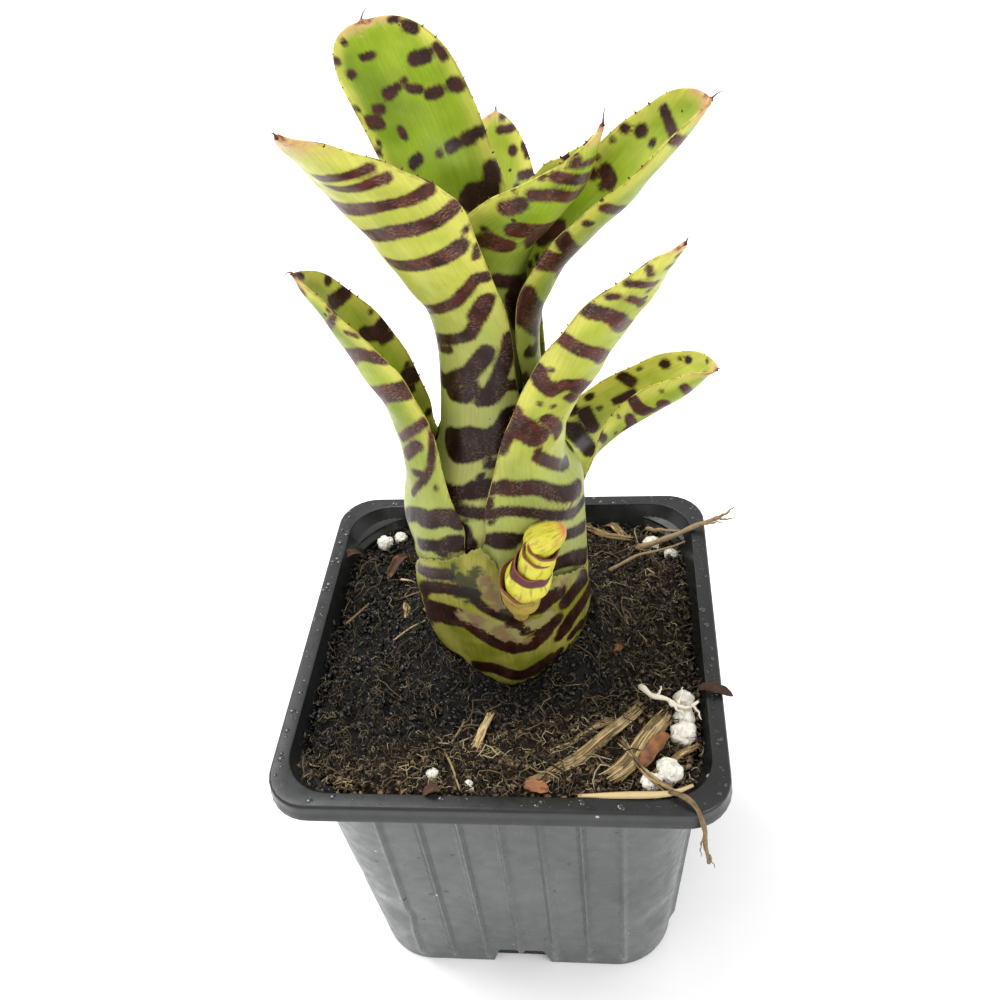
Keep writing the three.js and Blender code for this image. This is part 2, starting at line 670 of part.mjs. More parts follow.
function mixGeometry() {
  const gap = POT.wall + CLEARANCE;
  const edgeLevel = Math.min(MIX.frontLevel, MIX.backLevel) - 2;
  const outline = (z) => plainLoop(wallHalf(z) - gap, wallCorner(z) - gap, z);
  const rim = outline(edgeLevel);
  const centre = bulbAxis(edgeLevel);
  const settled = (point, share) => {
    const moved = centre.clone().lerp(point, share);
    moved.z = mixLevel(moved.x, moved.y);
    return moved;
  };
  const lifted = rim.map((point) => new THREE.Vector3(point.x, point.y, mixLevel(point.x, point.y) - MIX.edgeDrop));
  const loops = [outline(MIX.bottom), rim, lifted];
  for (const share of MIX.rings) loops.push(rim.map((point) => settled(point, share)));
  const middle = settled(centre, 1);
  let solid = solidOf(loft(loops, new THREE.Vector3(0, 0, MIX.bottom), middle));

  PERLITE.forEach((lump, number) => {
    solid = solid.add(solidOf(perliteLump(lump, number)));
  });
  for (const strip of BARK) solid = solid.add(solidOf(barkStrip(strip)));
  const twigPath = new THREE.QuadraticBezierCurve3(
    ...[TWIG.from, TWIG.over, TWIG.to].map((place) => new THREE.Vector3(...place)),
  );
  solid = solid.add(solidOf(tube(twigPath, TWIG.radius, MIX.barkSides, TWIG.steps)));

  // The hole that the bulb, its stem and its roots stand in
  const room = 2 * CLEARANCE;
  const firstFoot = footOf(0);
  const heights = BULB.map(([z]) => z).filter((z) => z > firstFoot && z <= MIX.holeTop);
  const hole = [
    [STEM.baseHeight - CLEARANCE, STEM.baseRadius + room],
    [firstFoot - CLEARANCE, bulbRadius(firstFoot, 0) + room],
    ...heights.map((z) => [z, bulbRadius(z, 0) + room]),
  ];
  const holeLoops = hole.map(([z, radius]) => ringLoop(bulbAxis(z), radius, MIX.holeSides));
  const [bottom, top] = [hole[0][0], hole[hole.length - 1][0]];
  solid = solid.subtract(solidOf(loft(holeLoops, bulbAxis(bottom), bulbAxis(top))));
  for (let number = 0; number < ROOT.count; number += 1) {
    const path = rootPath(number);
    const past = path.getPoint(1).addScaledVector(path.getTangent(1), CLEARANCE);
    const longer = new THREE.QuadraticBezierCurve3(path.v0, path.v1, past);
    solid = solid.subtract(solidOf(tube(longer, ROOT.radius + CLEARANCE, ROOT.sides, ROOT.steps)));
  }
  return geometryOf(solid);
}

// The side shoot: wrapped scale leaves, each stepping in at its upper edge

function shootGeometry() {
  const line = new THREE.CatmullRomCurve3(SHOOT_LINE.map((place) => new THREE.Vector3(...place)));
  const frame = (share) => {
    const centre = line.getPoint(share);
    const along = line.getTangent(share);
    const across = new THREE.Vector3().crossVectors(along, new THREE.Vector3(0, 0, 1)).normalize();
    return { centre, across, facing: new THREE.Vector3().crossVectors(across, along) };
  };
  const loopAt = (share, radius) => {
    const { centre, across, facing } = frame(share);
    const loop = [];
    for (let j = 0; j < SHOOT_SIDES; j += 1) {
      const angle = (2 * Math.PI * j) / SHOOT_SIDES;
      loop.push(centre.clone()
        .addScaledVector(across, radius * Math.cos(angle))
        .addScaledVector(facing, radius * Math.sin(angle)));
    }
    return loop;
  };
  const loops = [];
  for (const [from, to, startRadius, endRadius] of SHOOT_SCALES) {
    loops.push(loopAt(from, startRadius));
    loops.push(loopAt(lerp(from, to, 0.5), Math.max(startRadius, endRadius)));
    loops.push(loopAt(to, endRadius));
  }
  return loft(loops, line.getPoint(0), line.getPoint(1));
}

// The assembly

function piece(name, geometry, look) {
  const mesh = new THREE.Mesh(geometry, new THREE.MeshStandardMaterial(look));
  mesh.name = name;
  return mesh;
}

const plant = new THREE.Group();
plant.add(piece("nursery_pot", potSolid(), COLOURS.pot));
plant.add(piece("growing_mix", mixGeometry(), COLOURS.mix));
plant.add(piece("stem_and_roots", stemGeometry(), COLOURS.stem));
plant.add(piece(OLD_SHEATH.name, oldSheathGeometry(), COLOURS.oldLeaf));
for (const leaf of LEAVES) plant.add(piece(leaf.name, leafGeometry(leaf), COLOURS.leaf));
plant.add(piece("offset_shoot", shootGeometry(), COLOURS.shoot));

export default plant;
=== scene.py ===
"""A young banded bromeliad in a square nursery pot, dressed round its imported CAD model.

Sizes are in millimetres and angles in degrees, in the frame of the CAD model: +Z is up, the origin
is the centre of the pot's underside, and the side shoot and the torn old leaf base face -Y.
"""
import math

import bmesh
import bpy
import numpy as np
from mathutils import Matrix, Vector, noise


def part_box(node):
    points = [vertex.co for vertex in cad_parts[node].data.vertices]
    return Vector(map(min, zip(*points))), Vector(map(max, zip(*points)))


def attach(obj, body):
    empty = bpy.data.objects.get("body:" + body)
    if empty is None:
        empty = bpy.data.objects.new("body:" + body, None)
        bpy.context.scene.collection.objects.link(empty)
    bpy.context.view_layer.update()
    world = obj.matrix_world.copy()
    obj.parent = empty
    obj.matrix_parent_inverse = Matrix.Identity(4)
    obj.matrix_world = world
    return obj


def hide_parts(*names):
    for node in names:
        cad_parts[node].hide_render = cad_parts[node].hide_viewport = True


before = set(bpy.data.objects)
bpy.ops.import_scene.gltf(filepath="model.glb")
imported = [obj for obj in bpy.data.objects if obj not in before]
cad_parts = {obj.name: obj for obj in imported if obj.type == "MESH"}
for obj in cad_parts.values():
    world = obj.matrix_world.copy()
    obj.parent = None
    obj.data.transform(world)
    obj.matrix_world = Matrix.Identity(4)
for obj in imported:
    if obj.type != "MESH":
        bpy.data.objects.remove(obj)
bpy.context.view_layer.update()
MM = 0.001  # one millimetre in Blender's metres


# The pot
# A square nursery pot, moulded in one piece from thin dark grey plastic. Its lip turns down all
# round, low ribs stiffen its tapered walls, and water drains through a slot in each side.

pot_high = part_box("nursery_pot")[1]
POT_HEIGHT = pot_high.z / MM
RIM_HALF = pot_high.x / MM
RIM_CORNER = 9.0
MOUTH_HALF, MOUTH_CORNER = 41.3, 9.5
LIP_DEPTH, LIP_THICKNESS, LIP_ROUNDING = 4.4, 1.2, 0.7
WALL_TOP_HALF, WALL_TOP_CORNER = 41.1, 17.5
WALL_FOOT_HALF, WALL_FOOT_CORNER = 35.5, 13.5
WALL_THICKNESS, FLOOR_THICKNESS, FOOT_BEVEL = 1.0, 1.2, 0.6
RIB_COUNT, RIB_PITCH, RIB_WIDTH, RIB_HEIGHT, RIB_FOOT = 7, 8.1, 2.2, 0.95, 2.0
RIM_SHARP_ANGLE = 38.0
RIBBED_REACH = 25.6  # how far from the middle of a side its evenly spaced points run
SIDE_POINTS, CORNER_POINTS = 129, 17
WALL_STEP = 1.6
# The underside's rings: inset from the foot of the wall, and height
UNDERSIDE = [(2.5, 0.3), (FOOT_BEVEL + 0.8, 0.0), (FOOT_BEVEL, 0.05)]
# The lip's outer face, hollowed a little over its thick lower edge: inset, and rise over its foot
LIP_FACE = [(0.96, 0.1), (0.6, 0.0), (0.05, 0.2), (0.0, 0.7), (0.25, 1.7), (0.3, 2.8)]
RIM_TOP_INSET, RIM_TOP_DROP = 2.0, 0.12
# Where the rim turns down into the mouth: outset from the mouth, and drop
MOUTH_EDGE = [(0.4, 0.05), (0.1, 0.15), (0.0, 0.5)]
INNER_HEIGHTS = [66.0, 54.0, 42.0, 30.0, 18.0, 8.0, FLOOR_THICKNESS + 0.8]
# A drain slot: half width at its foot and top, height, the rounding of its top, and how far its cut
# runs past the wall
SLOT_FOOT_HALF, SLOT_TOP_HALF, SLOT_HEIGHT, SLOT_ROUNDING = 7.3, 5.6, 6.9, 1.0
SLOT_OUTSIDE, SLOT_INSIDE, SLOT_BELOW = 4.0, 8.0, 1.0
# Places where the thin wall is pressed in: middle, reach and depth
DENTS = [
    ((-27.0, -34.0, 24.0), 9.0, 1.3),
    ((-33.0, -27.5, 33.0), 7.0, 0.8),
    ((31.0, -33.0, 20.0), 8.0, 0.9),
    ((36.0, 12.0, 30.0), 11.0, 0.7),
]
# Beads of water on the rim: how many, their smallest and largest radius, how far they sink in,
# how flat they are, and the angles of their rings
BEADS, BEAD_LEAST, BEAD_MOST, BEAD_SINK, BEAD_FLATNESS = 420, 0.14, 0.7, 0.14, 0.55
BEAD_ANGLES, BEAD_SIDES = (-10.0, 12.0, 38.0, 64.0, 82.0), 10
# The rim's greys are painted shade: the rim and lip are the walls' plastic, coloured darker.
RIM_SHADE_GREY, RIM_SHADE_PALE = (17, 18, 18), (30, 32, 32)
WALL_GREY, WALL_PALE = (56, 61, 60), (80, 84, 82)
SOIL_DUST = (30, 24, 19)
LIME_DUST = (168, 166, 156)


def smooth_step(value, start=0.0, end=1.0):
    share = np.clip((np.asarray(value, float) - start) / (end - start), 0.0, 1.0)
    return share * share * (3.0 - 2.0 * share)


def blend(start, end, share):
    return start + (end - start) * share


def square_ring(half, corner, height, rib=0.0):
    """Points round a rounded square, with the ribs of each side raised by rib."""
    straight = half - corner
    across = np.linspace(-RIBBED_REACH, RIBBED_REACH, SIDE_POINTS)
    past = np.maximum(np.abs(across) - straight, 0.0)
    out = straight + np.sqrt(corner**2 - past**2)
    nearest = np.round(np.clip(across / RIB_PITCH, -(RIB_COUNT // 2), RIB_COUNT // 2)) * RIB_PITCH
    beside = np.clip(np.abs(across - nearest) / (RIB_WIDTH / 2), 0.0, 1.0)
    side = np.stack([across, out + rib * (0.5 + 0.5 * np.cos(math.pi * beside))], axis=1)

    run = max(straight - RIBBED_REACH, 0.0)
    start = math.asin(max(RIBBED_REACH - straight, 0.0) / corner)
    arc = corner * (math.pi / 2 - 2 * start)
    turned = []
    for step in range(1, CORNER_POINTS + 1):
        gone = (2 * run + arc) * step / (CORNER_POINTS + 1)
        angle = start + min(max(gone - run, 0.0), arc) / corner
        x = straight + corner * math.sin(angle) - max(run - gone, 0.0)
        y = straight + corner * math.cos(angle) - max(gone - run - arc, 0.0)
        turned.append((x, y))
    quarter = np.concatenate([side, np.array(turned)])
    points = []
    for turn in range(4):
        angle = -turn * math.pi / 2
        x = quarter[:, 0] * math.cos(angle) - quarter[:, 1] * math.sin(angle)
        y = quarter[:, 0] * math.sin(angle) + quarter[:, 1] * math.cos(angle)
        points.append(np.stack([x, y, np.full(len(x), height)], axis=1))
    return np.concatenate(points)


def lofted(rings, close_start=True, close_end=True):
    """Points and faces of a skin through rings of equal length."""
    size = len(rings[0])
    points = np.concatenate(rings)
    low = np.arange(size)
    high = np.roll(low, -1)
    faces = []
    for number in range(len(rings) - 1):
        base = number * size
        quads = np.stack([base + low, base + high, base + size + high, base + size + low], axis=1)
        faces.extend(quads.tolist())
    if close_start:
        faces.append(low[::-1].tolist())
    if close_end:
        faces.append((low + (len(rings) - 1) * size).tolist())
    return points, faces


def joined(parts):
    """Several (points, faces) as one, and for each point the number of the part it came from."""
    points, faces, owners, count = [], [], [], 0
    for number, (some_points, some_faces) in enumerate(parts):
        points.append(some_points)
        faces.extend([[corner + count for corner in face] for face in some_faces])
        owners.append(np.full(len(some_points), number))
        count += len(some_points)
    return np.concatenate(points), faces, np.concatenate(owners)


def add_piece(name, points, faces, fields=None):
    """A mesh object from points in millimetres, with a number at each point for every field."""
    mesh = bpy.data.meshes.new(name)
    mesh.from_pydata((np.asarray(points) * MM).tolist(), [], faces)
    for field, values in (fields or {}).items():
        attribute = mesh.attributes.new(field, "FLOAT", "POINT")
        attribute.data.foreach_set("value", np.asarray(values, np.float32))
    mesh.shade_smooth()
    piece = bpy.data.objects.new(name, mesh)
    bpy.context.scene.collection.objects.link(piece)
    return piece


def dented(points):
    """The points with the wall pressed in at each dent."""
    moved = points.copy()
    for middle, reach, depth in DENTS:
        away = np.linalg.norm(points - np.array(middle), axis=1) / reach
        push = depth * (1.0 - np.clip(away, 0.0, 1.0) ** 1.5) ** 2
        inward = -points * np.array([1.0, 1.0, 0.0])
        inward /= np.maximum(np.linalg.norm(inward, axis=1), 1e-6)[:, None]
        moved += inward * push[:, None]
    return moved


def wall_ring(height, inset=0.0, rib=0.0):
    share = height / POT_HEIGHT
    half = blend(WALL_FOOT_HALF, WALL_TOP_HALF, share) - inset
    corner = blend(WALL_FOOT_CORNER, WALL_TOP_CORNER, share) - inset
    return dented(square_ring(half, corner, height, rib))


def rim_ring(inset, height):
    return square_ring(RIM_HALF - inset, RIM_CORNER - inset, height)


def pot_rings():
    """Rings from the middle of the underside, up the outside, over the lip and down the inside."""
    lip_foot = POT_HEIGHT - LIP_DEPTH
    lip_groove = POT_HEIGHT - LIP_THICKNESS
    rings = [square_ring(WALL_FOOT_HALF - inset, WALL_FOOT_CORNER - inset, height)
             for inset, height in UNDERSIDE]
    rings.append(wall_ring(FOOT_BEVEL))
    for height in np.arange(RIB_FOOT, lip_foot + 2.0, WALL_STEP):
        rib = RIB_HEIGHT * float(smooth_step(height, RIB_FOOT - 0.5, RIB_FOOT + 4.0))
        rings.append(wall_ring(height, rib=rib))
    rings.append(square_ring(MOUTH_HALF + WALL_THICKNESS, MOUTH_CORNER + WALL_THICKNESS, lip_groove))
    rings.append(rim_ring(LIP_THICKNESS, lip_groove))
    for inset, rise in LIP_FACE:
        rings.append(rim_ring(inset, lip_foot + rise))
    for angle in range(0, 91, 18):
        turn = math.radians(angle)
        inset = LIP_FACE[-1][0] + LIP_ROUNDING * (1.0 - math.cos(turn))
        rings.append(rim_ring(inset, POT_HEIGHT - LIP_ROUNDING * (1.0 - math.sin(turn))))
    rings.append(rim_ring(RIM_TOP_INSET, POT_HEIGHT - RIM_TOP_DROP))
    for outset, drop in MOUTH_EDGE:
        rings.append(square_ring(MOUTH_HALF + outset, MOUTH_CORNER + outset, POT_HEIGHT - drop))
    for height in (lip_foot, *INNER_HEIGHTS):
        rings.append(wall_ring(height, WALL_THICKNESS))
    rings.append(wall_ring(FLOOR_THICKNESS, WALL_THICKNESS + 0.8))
    return rings


def slot_cutter():
    """Four tapered blocks with rounded tops, one through the foot of each side."""
    outline = [(-SLOT_FOOT_HALF, -SLOT_BELOW), (SLOT_FOOT_HALF, -SLOT_BELOW)]
    for angle in (0, 30, 60, 90, 90, 120, 150, 180):
        turn = math.radians(angle)
        side = 1.0 if len(outline) < 6 else -1.0
        outline.append((side * (SLOT_TOP_HALF - SLOT_ROUNDING) + SLOT_ROUNDING * math.cos(turn),
                        SLOT_HEIGHT - SLOT_ROUNDING + SLOT_ROUNDING * math.sin(turn)))
    blocks = []
    for turn in range(4):
        cos, sin = round(math.cos(turn * math.pi / 2)), round(math.sin(turn * math.pi / 2))
        rings = []
        for out in (WALL_FOOT_HALF + SLOT_OUTSIDE, WALL_FOOT_HALF - SLOT_INSIDE):
            rings.append(np.array([(x * cos - out * sin, x * sin + out * cos, z) for x, z in outline]))
        blocks.append(lofted(rings))
    return joined(blocks)[:2]


def cut_away(piece, cutter):
    """Cuts the cutter's shape out of the piece for good."""
    modifier = piece.modifiers.new("slots", "BOOLEAN")
    modifier.operation = "DIFFERENCE"
    modifier.solver = "EXACT"
    modifier.object = cutter
    shaped = piece.evaluated_get(bpy.context.evaluated_depsgraph_get())
    mesh = bpy.data.meshes.new_from_object(shaped)
    piece.modifiers.clear()
    piece.data = mesh
    bpy.data.objects.remove(cutter)


def around(angles):
    angles = np.asarray(angles, float)
    return np.stack([np.cos(angles), np.sin(angles), np.zeros(angles.shape)], axis=-1)


def water_beads():
    """Small domes of water on the rim's flat top: fewest at the front, most on the left and back."""
    generator = np.random.default_rng(11)
    domes = []
    while len(domes) < BEADS:
        x, y = generator.uniform(-RIM_HALF, RIM_HALF, 2)
        past_x, past_y = max(abs(x) - RIM_HALF + RIM_CORNER, 0), max(abs(y) - RIM_HALF + RIM_CORNER, 0)
        if max(abs(x), abs(y)) < MOUTH_HALF + 0.6 or math.hypot(past_x, past_y) > RIM_CORNER - 1.0:
            continue
        if generator.random() > 0.25 + 0.5 * (x < -MOUTH_HALF) + 0.4 * (y > 20) + 0.3 * (x > MOUTH_HALF):
            continue
        radius = BEAD_LEAST + (BEAD_MOST - BEAD_LEAST) * generator.random() ** 5
        rings = []
        for angle in BEAD_ANGLES:
            turn = math.radians(angle)
            round_angle = np.linspace(0.0, 2 * math.pi, BEAD_SIDES, endpoint=False)
            ring = around(round_angle) * radius * math.cos(turn)
            ring[:, 0] *= 1.0 + 0.25 * math.sin(37.0 * x)
            top = POT_HEIGHT - BEAD_SINK + BEAD_FLATNESS * radius * math.sin(turn)
            rings.append(ring + np.array([x, y, top]))
        domes.append(lofted(rings))
    return joined(domes)[:2]


def tint(red, green, blue):
    """A colour given as it looks on a screen, for a colour socket."""
    shares = []
    for level in (red, green, blue):
        share = level / 255
        shares.append(share / 12.92 if share <= 0.04045 else ((share + 0.055) / 1.055) ** 2.4)
    return (*shares, 1.0)


def add_node(tree, kind, inputs=None, **settings):
    """A node with its settings, and with each input either set or linked."""
    node = tree.nodes.new(kind)
    for name, value in settings.items():
        setattr(node, name, value)
    for name, value in (inputs or {}).items():
        if isinstance(value, bpy.types.NodeSocket):
            tree.links.new(value, node.inputs[name])
        else:
            node.inputs[name].default_value = value
    return node


def worked_out(tree, operation, *values):
    return add_node(tree, "ShaderNodeMath", dict(enumerate(values)), operation=operation).outputs[0]


def times(tree, first, *others):
    """The product of all the values."""
    for other in others:
        first = worked_out(tree, "MULTIPLY", first, other)
    return first


def ramped(tree, value, low, high, first=0.0, last=1.0):
    """A smooth run from first, where value is at low, to last, where it is at high."""
    inputs = {"Value": value, "From Min": low, "From Max": high, "To Min": first, "To Max": last}
    return add_node(tree, "ShaderNodeMapRange", inputs, interpolation_type="SMOOTHSTEP").outputs[0]


def mixed(tree, share, first, second, mode="MIX"):
    inputs = {0: share, 6: first, 7: second}
    return add_node(tree, "ShaderNodeMix", inputs, data_type="RGBA", blend_type=mode).outputs[2]


def mixed_value(tree, share, first, second):
    return add_node(tree, "ShaderNodeMix", {0: share, 2: first, 3: second}).outputs[0]


def noise_of(tree, place, scale, detail=2.0, roughness=0.5):
    inputs = {"Vector": place, "Scale": scale, "Detail": detail, "Roughness": roughness}
    return add_node(tree, "ShaderNodeTexNoise", inputs).outputs["Fac"]


def place_in_mm(tree):
    """The point on the piece, in millimetres."""
    place = tree.nodes.new("ShaderNodeTexCoord").outputs["Object"]
    return add_node(tree, "ShaderNodeVectorMath", {0: place, "Scale": 1 / MM}, operation="SCALE").outputs[0]


def new_group(name, inputs, outputs):
    """A shader node group with named sockets, with its first and last node."""
    tree = bpy.data.node_groups.new(name, "ShaderNodeTree")
    kinds = {"value": "NodeSocketFloat", "colour": "NodeSocketColor", "place": "NodeSocketVector"}
    for socket, kind, value in inputs:
        made = tree.interface.new_socket(socket, in_out="INPUT", socket_type=kinds[kind])
        if value is not None:
            made.default_value = value
    for socket, kind in outputs:
        tree.interface.new_socket(socket, in_out="OUTPUT", socket_type=kinds[kind])
    return tree, tree.nodes.new("NodeGroupInput").outputs, tree.nodes.new("NodeGroupOutput")


def placed(tree, group, **inputs):
    """The outputs of the group, placed in a material with its own values."""
    return add_node(tree, "ShaderNodeGroup", inputs, node_tree=group).outputs


def new_material(name, **constants):
    """A material with its Principled shader. An underscore in a socket's name stands for a space."""
    material = bpy.data.materials.new(name)
    material.use_nodes = True
    shader = material.node_tree.nodes["Principled BSDF"]
    for socket, value in constants.items():
        shader.inputs[socket.replace("_", " ")].default_value = value
    return material, material.node_tree, shader


def surfaced(tree, shader, colour, roughness=None, relief=None, strength=0.5, depth=0.2):
    """Gives the shader its colour, roughness, and a relief of this depth in millimetres."""
    tree.links.new(colour, shader.inputs["Base Color"])
    if roughness is not None:
        tree.links.new(roughness, shader.inputs["Roughness"])
    if relief is not None:
        inputs = {"Height": relief, "Strength": strength, "Distance": depth * MM}
        bump = add_node(tree, "ShaderNodeBump", inputs)
        tree.links.new(bump.outputs["Normal"], shader.inputs["Normal"])


def specks_group():
    """Scattered specks: a mask of small round spots of uneven size, gathered here and there."""
    tree, given, result = new_group(
        "specks",
        [("Place", "place", None), ("Spacing", "value", 1.5), ("Size", "value", 0.2),
         ("Patchiness", "value", 0.5)],
        [("Mask", "value")],
    )
    scale = worked_out(tree, "DIVIDE", 1.0, given["Spacing"])
    inputs = {"Vector": given["Place"], "Scale": scale, "Randomness": 1.0}
    cells = add_node(tree, "ShaderNodeTexVoronoi", inputs, feature="F1")
    patches = noise_of(tree, given["Place"], 0.09, 3.0)
    kept = worked_out(tree, "SUBTRACT", patches, given["Patchiness"])
    spread = times(tree, worked_out(tree, "MAXIMUM", kept, 0.0), 5.0)
    chance = add_node(tree, "ShaderNodeSeparateColor", {0: cells.outputs["Color"]}).outputs[0]
    reach = times(tree, given["Size"], chance, spread)
    away = worked_out(tree, "SUBTRACT", reach, cells.outputs["Distance"])
    tree.links.new(ramped(tree, away, 0.0, 0.04), result.inputs["Mask"])
    return tree


def mottle_group():
    """A colour that drifts between a darker and a lighter one in soft patches of two sizes."""
    tree, given, result = new_group(
        "mottle",
        [("Place", "place", None), ("Darker", "colour", None), ("Lighter", "colour", None),
         ("Patch", "value", 8.0), ("Contrast", "value", 1.0)],
        [("Colour", "colour"), ("Mask", "value")],
    )
    wide = noise_of(tree, given["Place"], worked_out(tree, "DIVIDE", 1.0, given["Patch"]), 3.0)
    fine = noise_of(tree, given["Place"], worked_out(tree, "DIVIDE", 6.0, given["Patch"]), 2.0)
    both = mixed_value(tree, 0.3, wide, fine)
    centred = times(tree, worked_out(tree, "SUBTRACT", both, 0.5), given["Contrast"])
    mask = ramped(tree, centred, -0.2, 0.2)
    tree.links.new(mixed(tree, mask, given["Darker"], given["Lighter"]), result.inputs["Colour"])
    tree.links.new(mask, result.inputs["Mask"])
    return tree


specks = specks_group()
mottle = mottle_group()


def pot_plastic():
    """Dark grey plastic with soil dust and a moulded grain, its rim and lip coloured darker than the walls
    as painted shade.
    """
    material, tree, shader = new_material("pot_plastic", Specular_IOR_Level=0.42)
    place = place_in_mm(tree)
    rim = placed(tree, mottle, Place=place, Darker=tint(*RIM_SHADE_GREY), Lighter=tint(*RIM_SHADE_PALE), Patch=20.0)
    wall = placed(tree, mottle, Place=place, Darker=tint(*WALL_GREY), Lighter=tint(*WALL_PALE), Patch=24.0,
                  Contrast=0.8)
    height = add_node(tree, "ShaderNodeSeparateXYZ", {0: place}).outputs[2]
    # Painted shade: from just under the lip's foot upwards, the rim's darker grey takes over from the walls'
    # grey.
    wall_below_rim_shade = ramped(tree, height, POT_HEIGHT - LIP_DEPTH - 5.0, POT_HEIGHT - LIP_DEPTH - 1.0, 1.0, 0.0)
    plain = mixed(tree, wall_below_rim_shade, rim["Colour"], wall["Colour"])
    dust = placed(tree, specks, Place=place, Spacing=3.4, Size=0.16, Patchiness=0.34)["Mask"]
    lime = placed(tree, specks, Place=place, Spacing=5.2, Size=0.07, Patchiness=0.3)["Mask"]
    dusty = mixed(tree, dust, plain, tint(*SOIL_DUST))
    limed = mixed(tree, lime, dusty, tint(*LIME_DUST))
    worn = ramped(tree, noise_of(tree, place, 0.35, 4.0), 0.25, 0.75, 0.24, 0.42)
    grain = noise_of(tree, place, 2.6, 2.0)
    relief = worked_out(tree, "MULTIPLY_ADD", grain, 0.06, times(tree, dust, 0.5))
    surfaced(tree, shader, limed, worn, relief, strength=0.35)
    return material


def bead_water():
    """Water on dark plastic: as dark as what it stands on, with a smooth shine."""
    material, tree, shader = new_material("bead_water", Roughness=0.04, Specular_IOR_Level=0.9)
    # The lighter grey of the water is the rim's painted shade.
    plain = placed(tree, mottle, Place=place_in_mm(tree), Darker=tint(*SOIL_DUST),
                   Lighter=tint(*RIM_SHADE_PALE), Patch=5.0)
    surfaced(tree, shader, plain["Colour"])
    return material


pot = add_piece("pot_shell", *lofted(pot_rings()))
cut_away(pot, add_piece("slot_cutter", *slot_cutter()))
pot.data.set_sharp_from_angle(angle=math.radians(RIM_SHARP_ANGLE))
pot.data.materials.append(pot_plastic())
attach(pot, "root")
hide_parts("nursery_pot")

beads = add_piece("rim_water_beads", *water_beads())
beads.data.materials.append(bead_water())
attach(beads, "root")


# The growing mix
# A root ball of moist peat, shredded bark and coir that fills the pot. Loose crumbs and fibres
# cover its top, with white perlite, strips of bark, a twig and dead roots among them.

MIX_FRONT_LEVEL, MIX_BACK_LEVEL, MIX_ROUGHNESS = 77.5, 74.0, 0.9
MIX_GAP = 0.35
# The mix heaped round the bulb, apart from its front: height, distances from the bulb's axis
# between which it fades, the direction left open, and the degrees beside that where it sets in
HEAP_HEIGHT, HEAP_REACH, HEAP_OPEN, HEAP_SETS_IN = 6.2, (17.0, 30.0), 276.0, (5.0, 52.0)
# Where the mix turns brown, towards the front and towards the right
BROWN_FRONT, BROWN_RIGHT = (18.0, 30.0), (16.0, 27.0)
MIX_BOTTOM = 1.6
MIX_TOP_RINGS = 130
BULB_AXIS_Y = 5.0
# The bulb of wrapped leaf bases: height, radius of the innermost wrap, and the axis in X
BULB = np.array([
    (46, -5.6, -0.3), (52, -2.0, -0.3), (58, 1.5, -0.2), (64, 4.2, 0.0), (71, 6.6, 0.0), (79, 8.7, -0.1),
    (87, 10.2, -0.4), (96, 11.1, -0.8), (104, 11.6, -1.2), (112, 11.2, -0.9), (119, 10.5, -0.2),
    (125, 9.1, 0.5), (131, 7.5, 1.2), (139, 6.8, 1.8), (150, 6.5, 2.4), (160, 6.6, 2.7), (170, 6.8, 3.0),
])
WRAP = 1.05  # from one wrap to the next
INNERMOST = 8
UP = np.array([0.0, 0.0, 1.0])

CRUMBS, FIBRES, LONG_FIBRES = 9000, 7000, 460
CRUMB_LEAST, CRUMB_MOST = 0.16, 0.75
# Perlite lumps: X, Y and radius
PERLITE = [
    (-33.2, 33.2, 2.0), (-29.8, 35.6, 1.7), (32.3, 32.6, 2.2), (36.6, 29.1, 1.6), (36.9, -16.6, 2.2),
    (36.9, -20.6, 2.2), (36.4, -24.9, 2.7), (33.2, -34.2, 2.7), (29.8, -36.6, 2.0), (-12.5, -35.5, 1.2),
    (-5.2, -37.2, 0.8), (-4.6, -38.6, 0.6),
]
# Shredded bark: half width, colour tone, then points of its line as X, Y and rise over the mix
BARK_STRIPS = [
    (1.25, 0.62, (6.0, -38.0, 0.3), (11.7, -34.3, 0.8), (16.2, -30.6, 1.1), (21.1, -26.5, 1.4),
     (25.6, -21.6, 1.5), (29.2, -17.1, 0.9)),
    (1.7, 0.68, (21.0, -36.2, 0.6), (25.4, -32.9, 1.1), (28.8, -27.7, 1.6), (31.9, -22.9, 1.8),
     (33.8, -19.7, 1.2)),
    (0.55, 0.5, (9.9, -29.9, 0.3), (15.1, -25.8, 0.7), (20.1, -22.8, 0.9), (24.0, -21.5, 0.4)),
    (0.6, 0.85, (-4.8, -29.5, 0.8), (-3.4, -25.0, 1.5), (-2.0, -20.3, 0.9)),
    (0.45, 0.45, (24.0, -27.0, 1.9), (27.7, -33.5, 2.2), (30.8, -37.9, 2.0), (34.9, -40.4, 2.2)),
    (0.5, 0.5, (29.7, -36.0, 1.2), (34.4, -31.4, 1.9), (38.8, -28.1, 1.4)),
    (0.6, 0.55, (-24.4, 10.5, 0.6), (-23.4, 7.0, 1.0), (-22.6, 3.7, 0.5)),
    (0.9, 0.5, (21.8, 40.2, 0.8), (23.5, 37.8, 1.7), (25.9, 34.4, 0.8)),
    (0.7, 0.45, (16.0, 38.5, 0.6), (22.0, 35.0, 1.2), (28.0, 33.0, 0.8)),
]
# Pale straws lying loose: X and Y of both ends
STRAWS = [
    (-25.5, -1.5, -17.9, 0.6), (-18.6, 3.9, -14.2, -2.6), (-14.8, 2.4, -10.6, -2.9),
    (-38.1, 5.2, -33.4, 11.4), (-27.3, 19.9, -23.6, 19.2), (-26.3, 13.0, -21.0, 12.0),
    (-11.1, -29.0, -6.6, -39.3), (-7.5, -22.5, -9.8, -27.5),
]
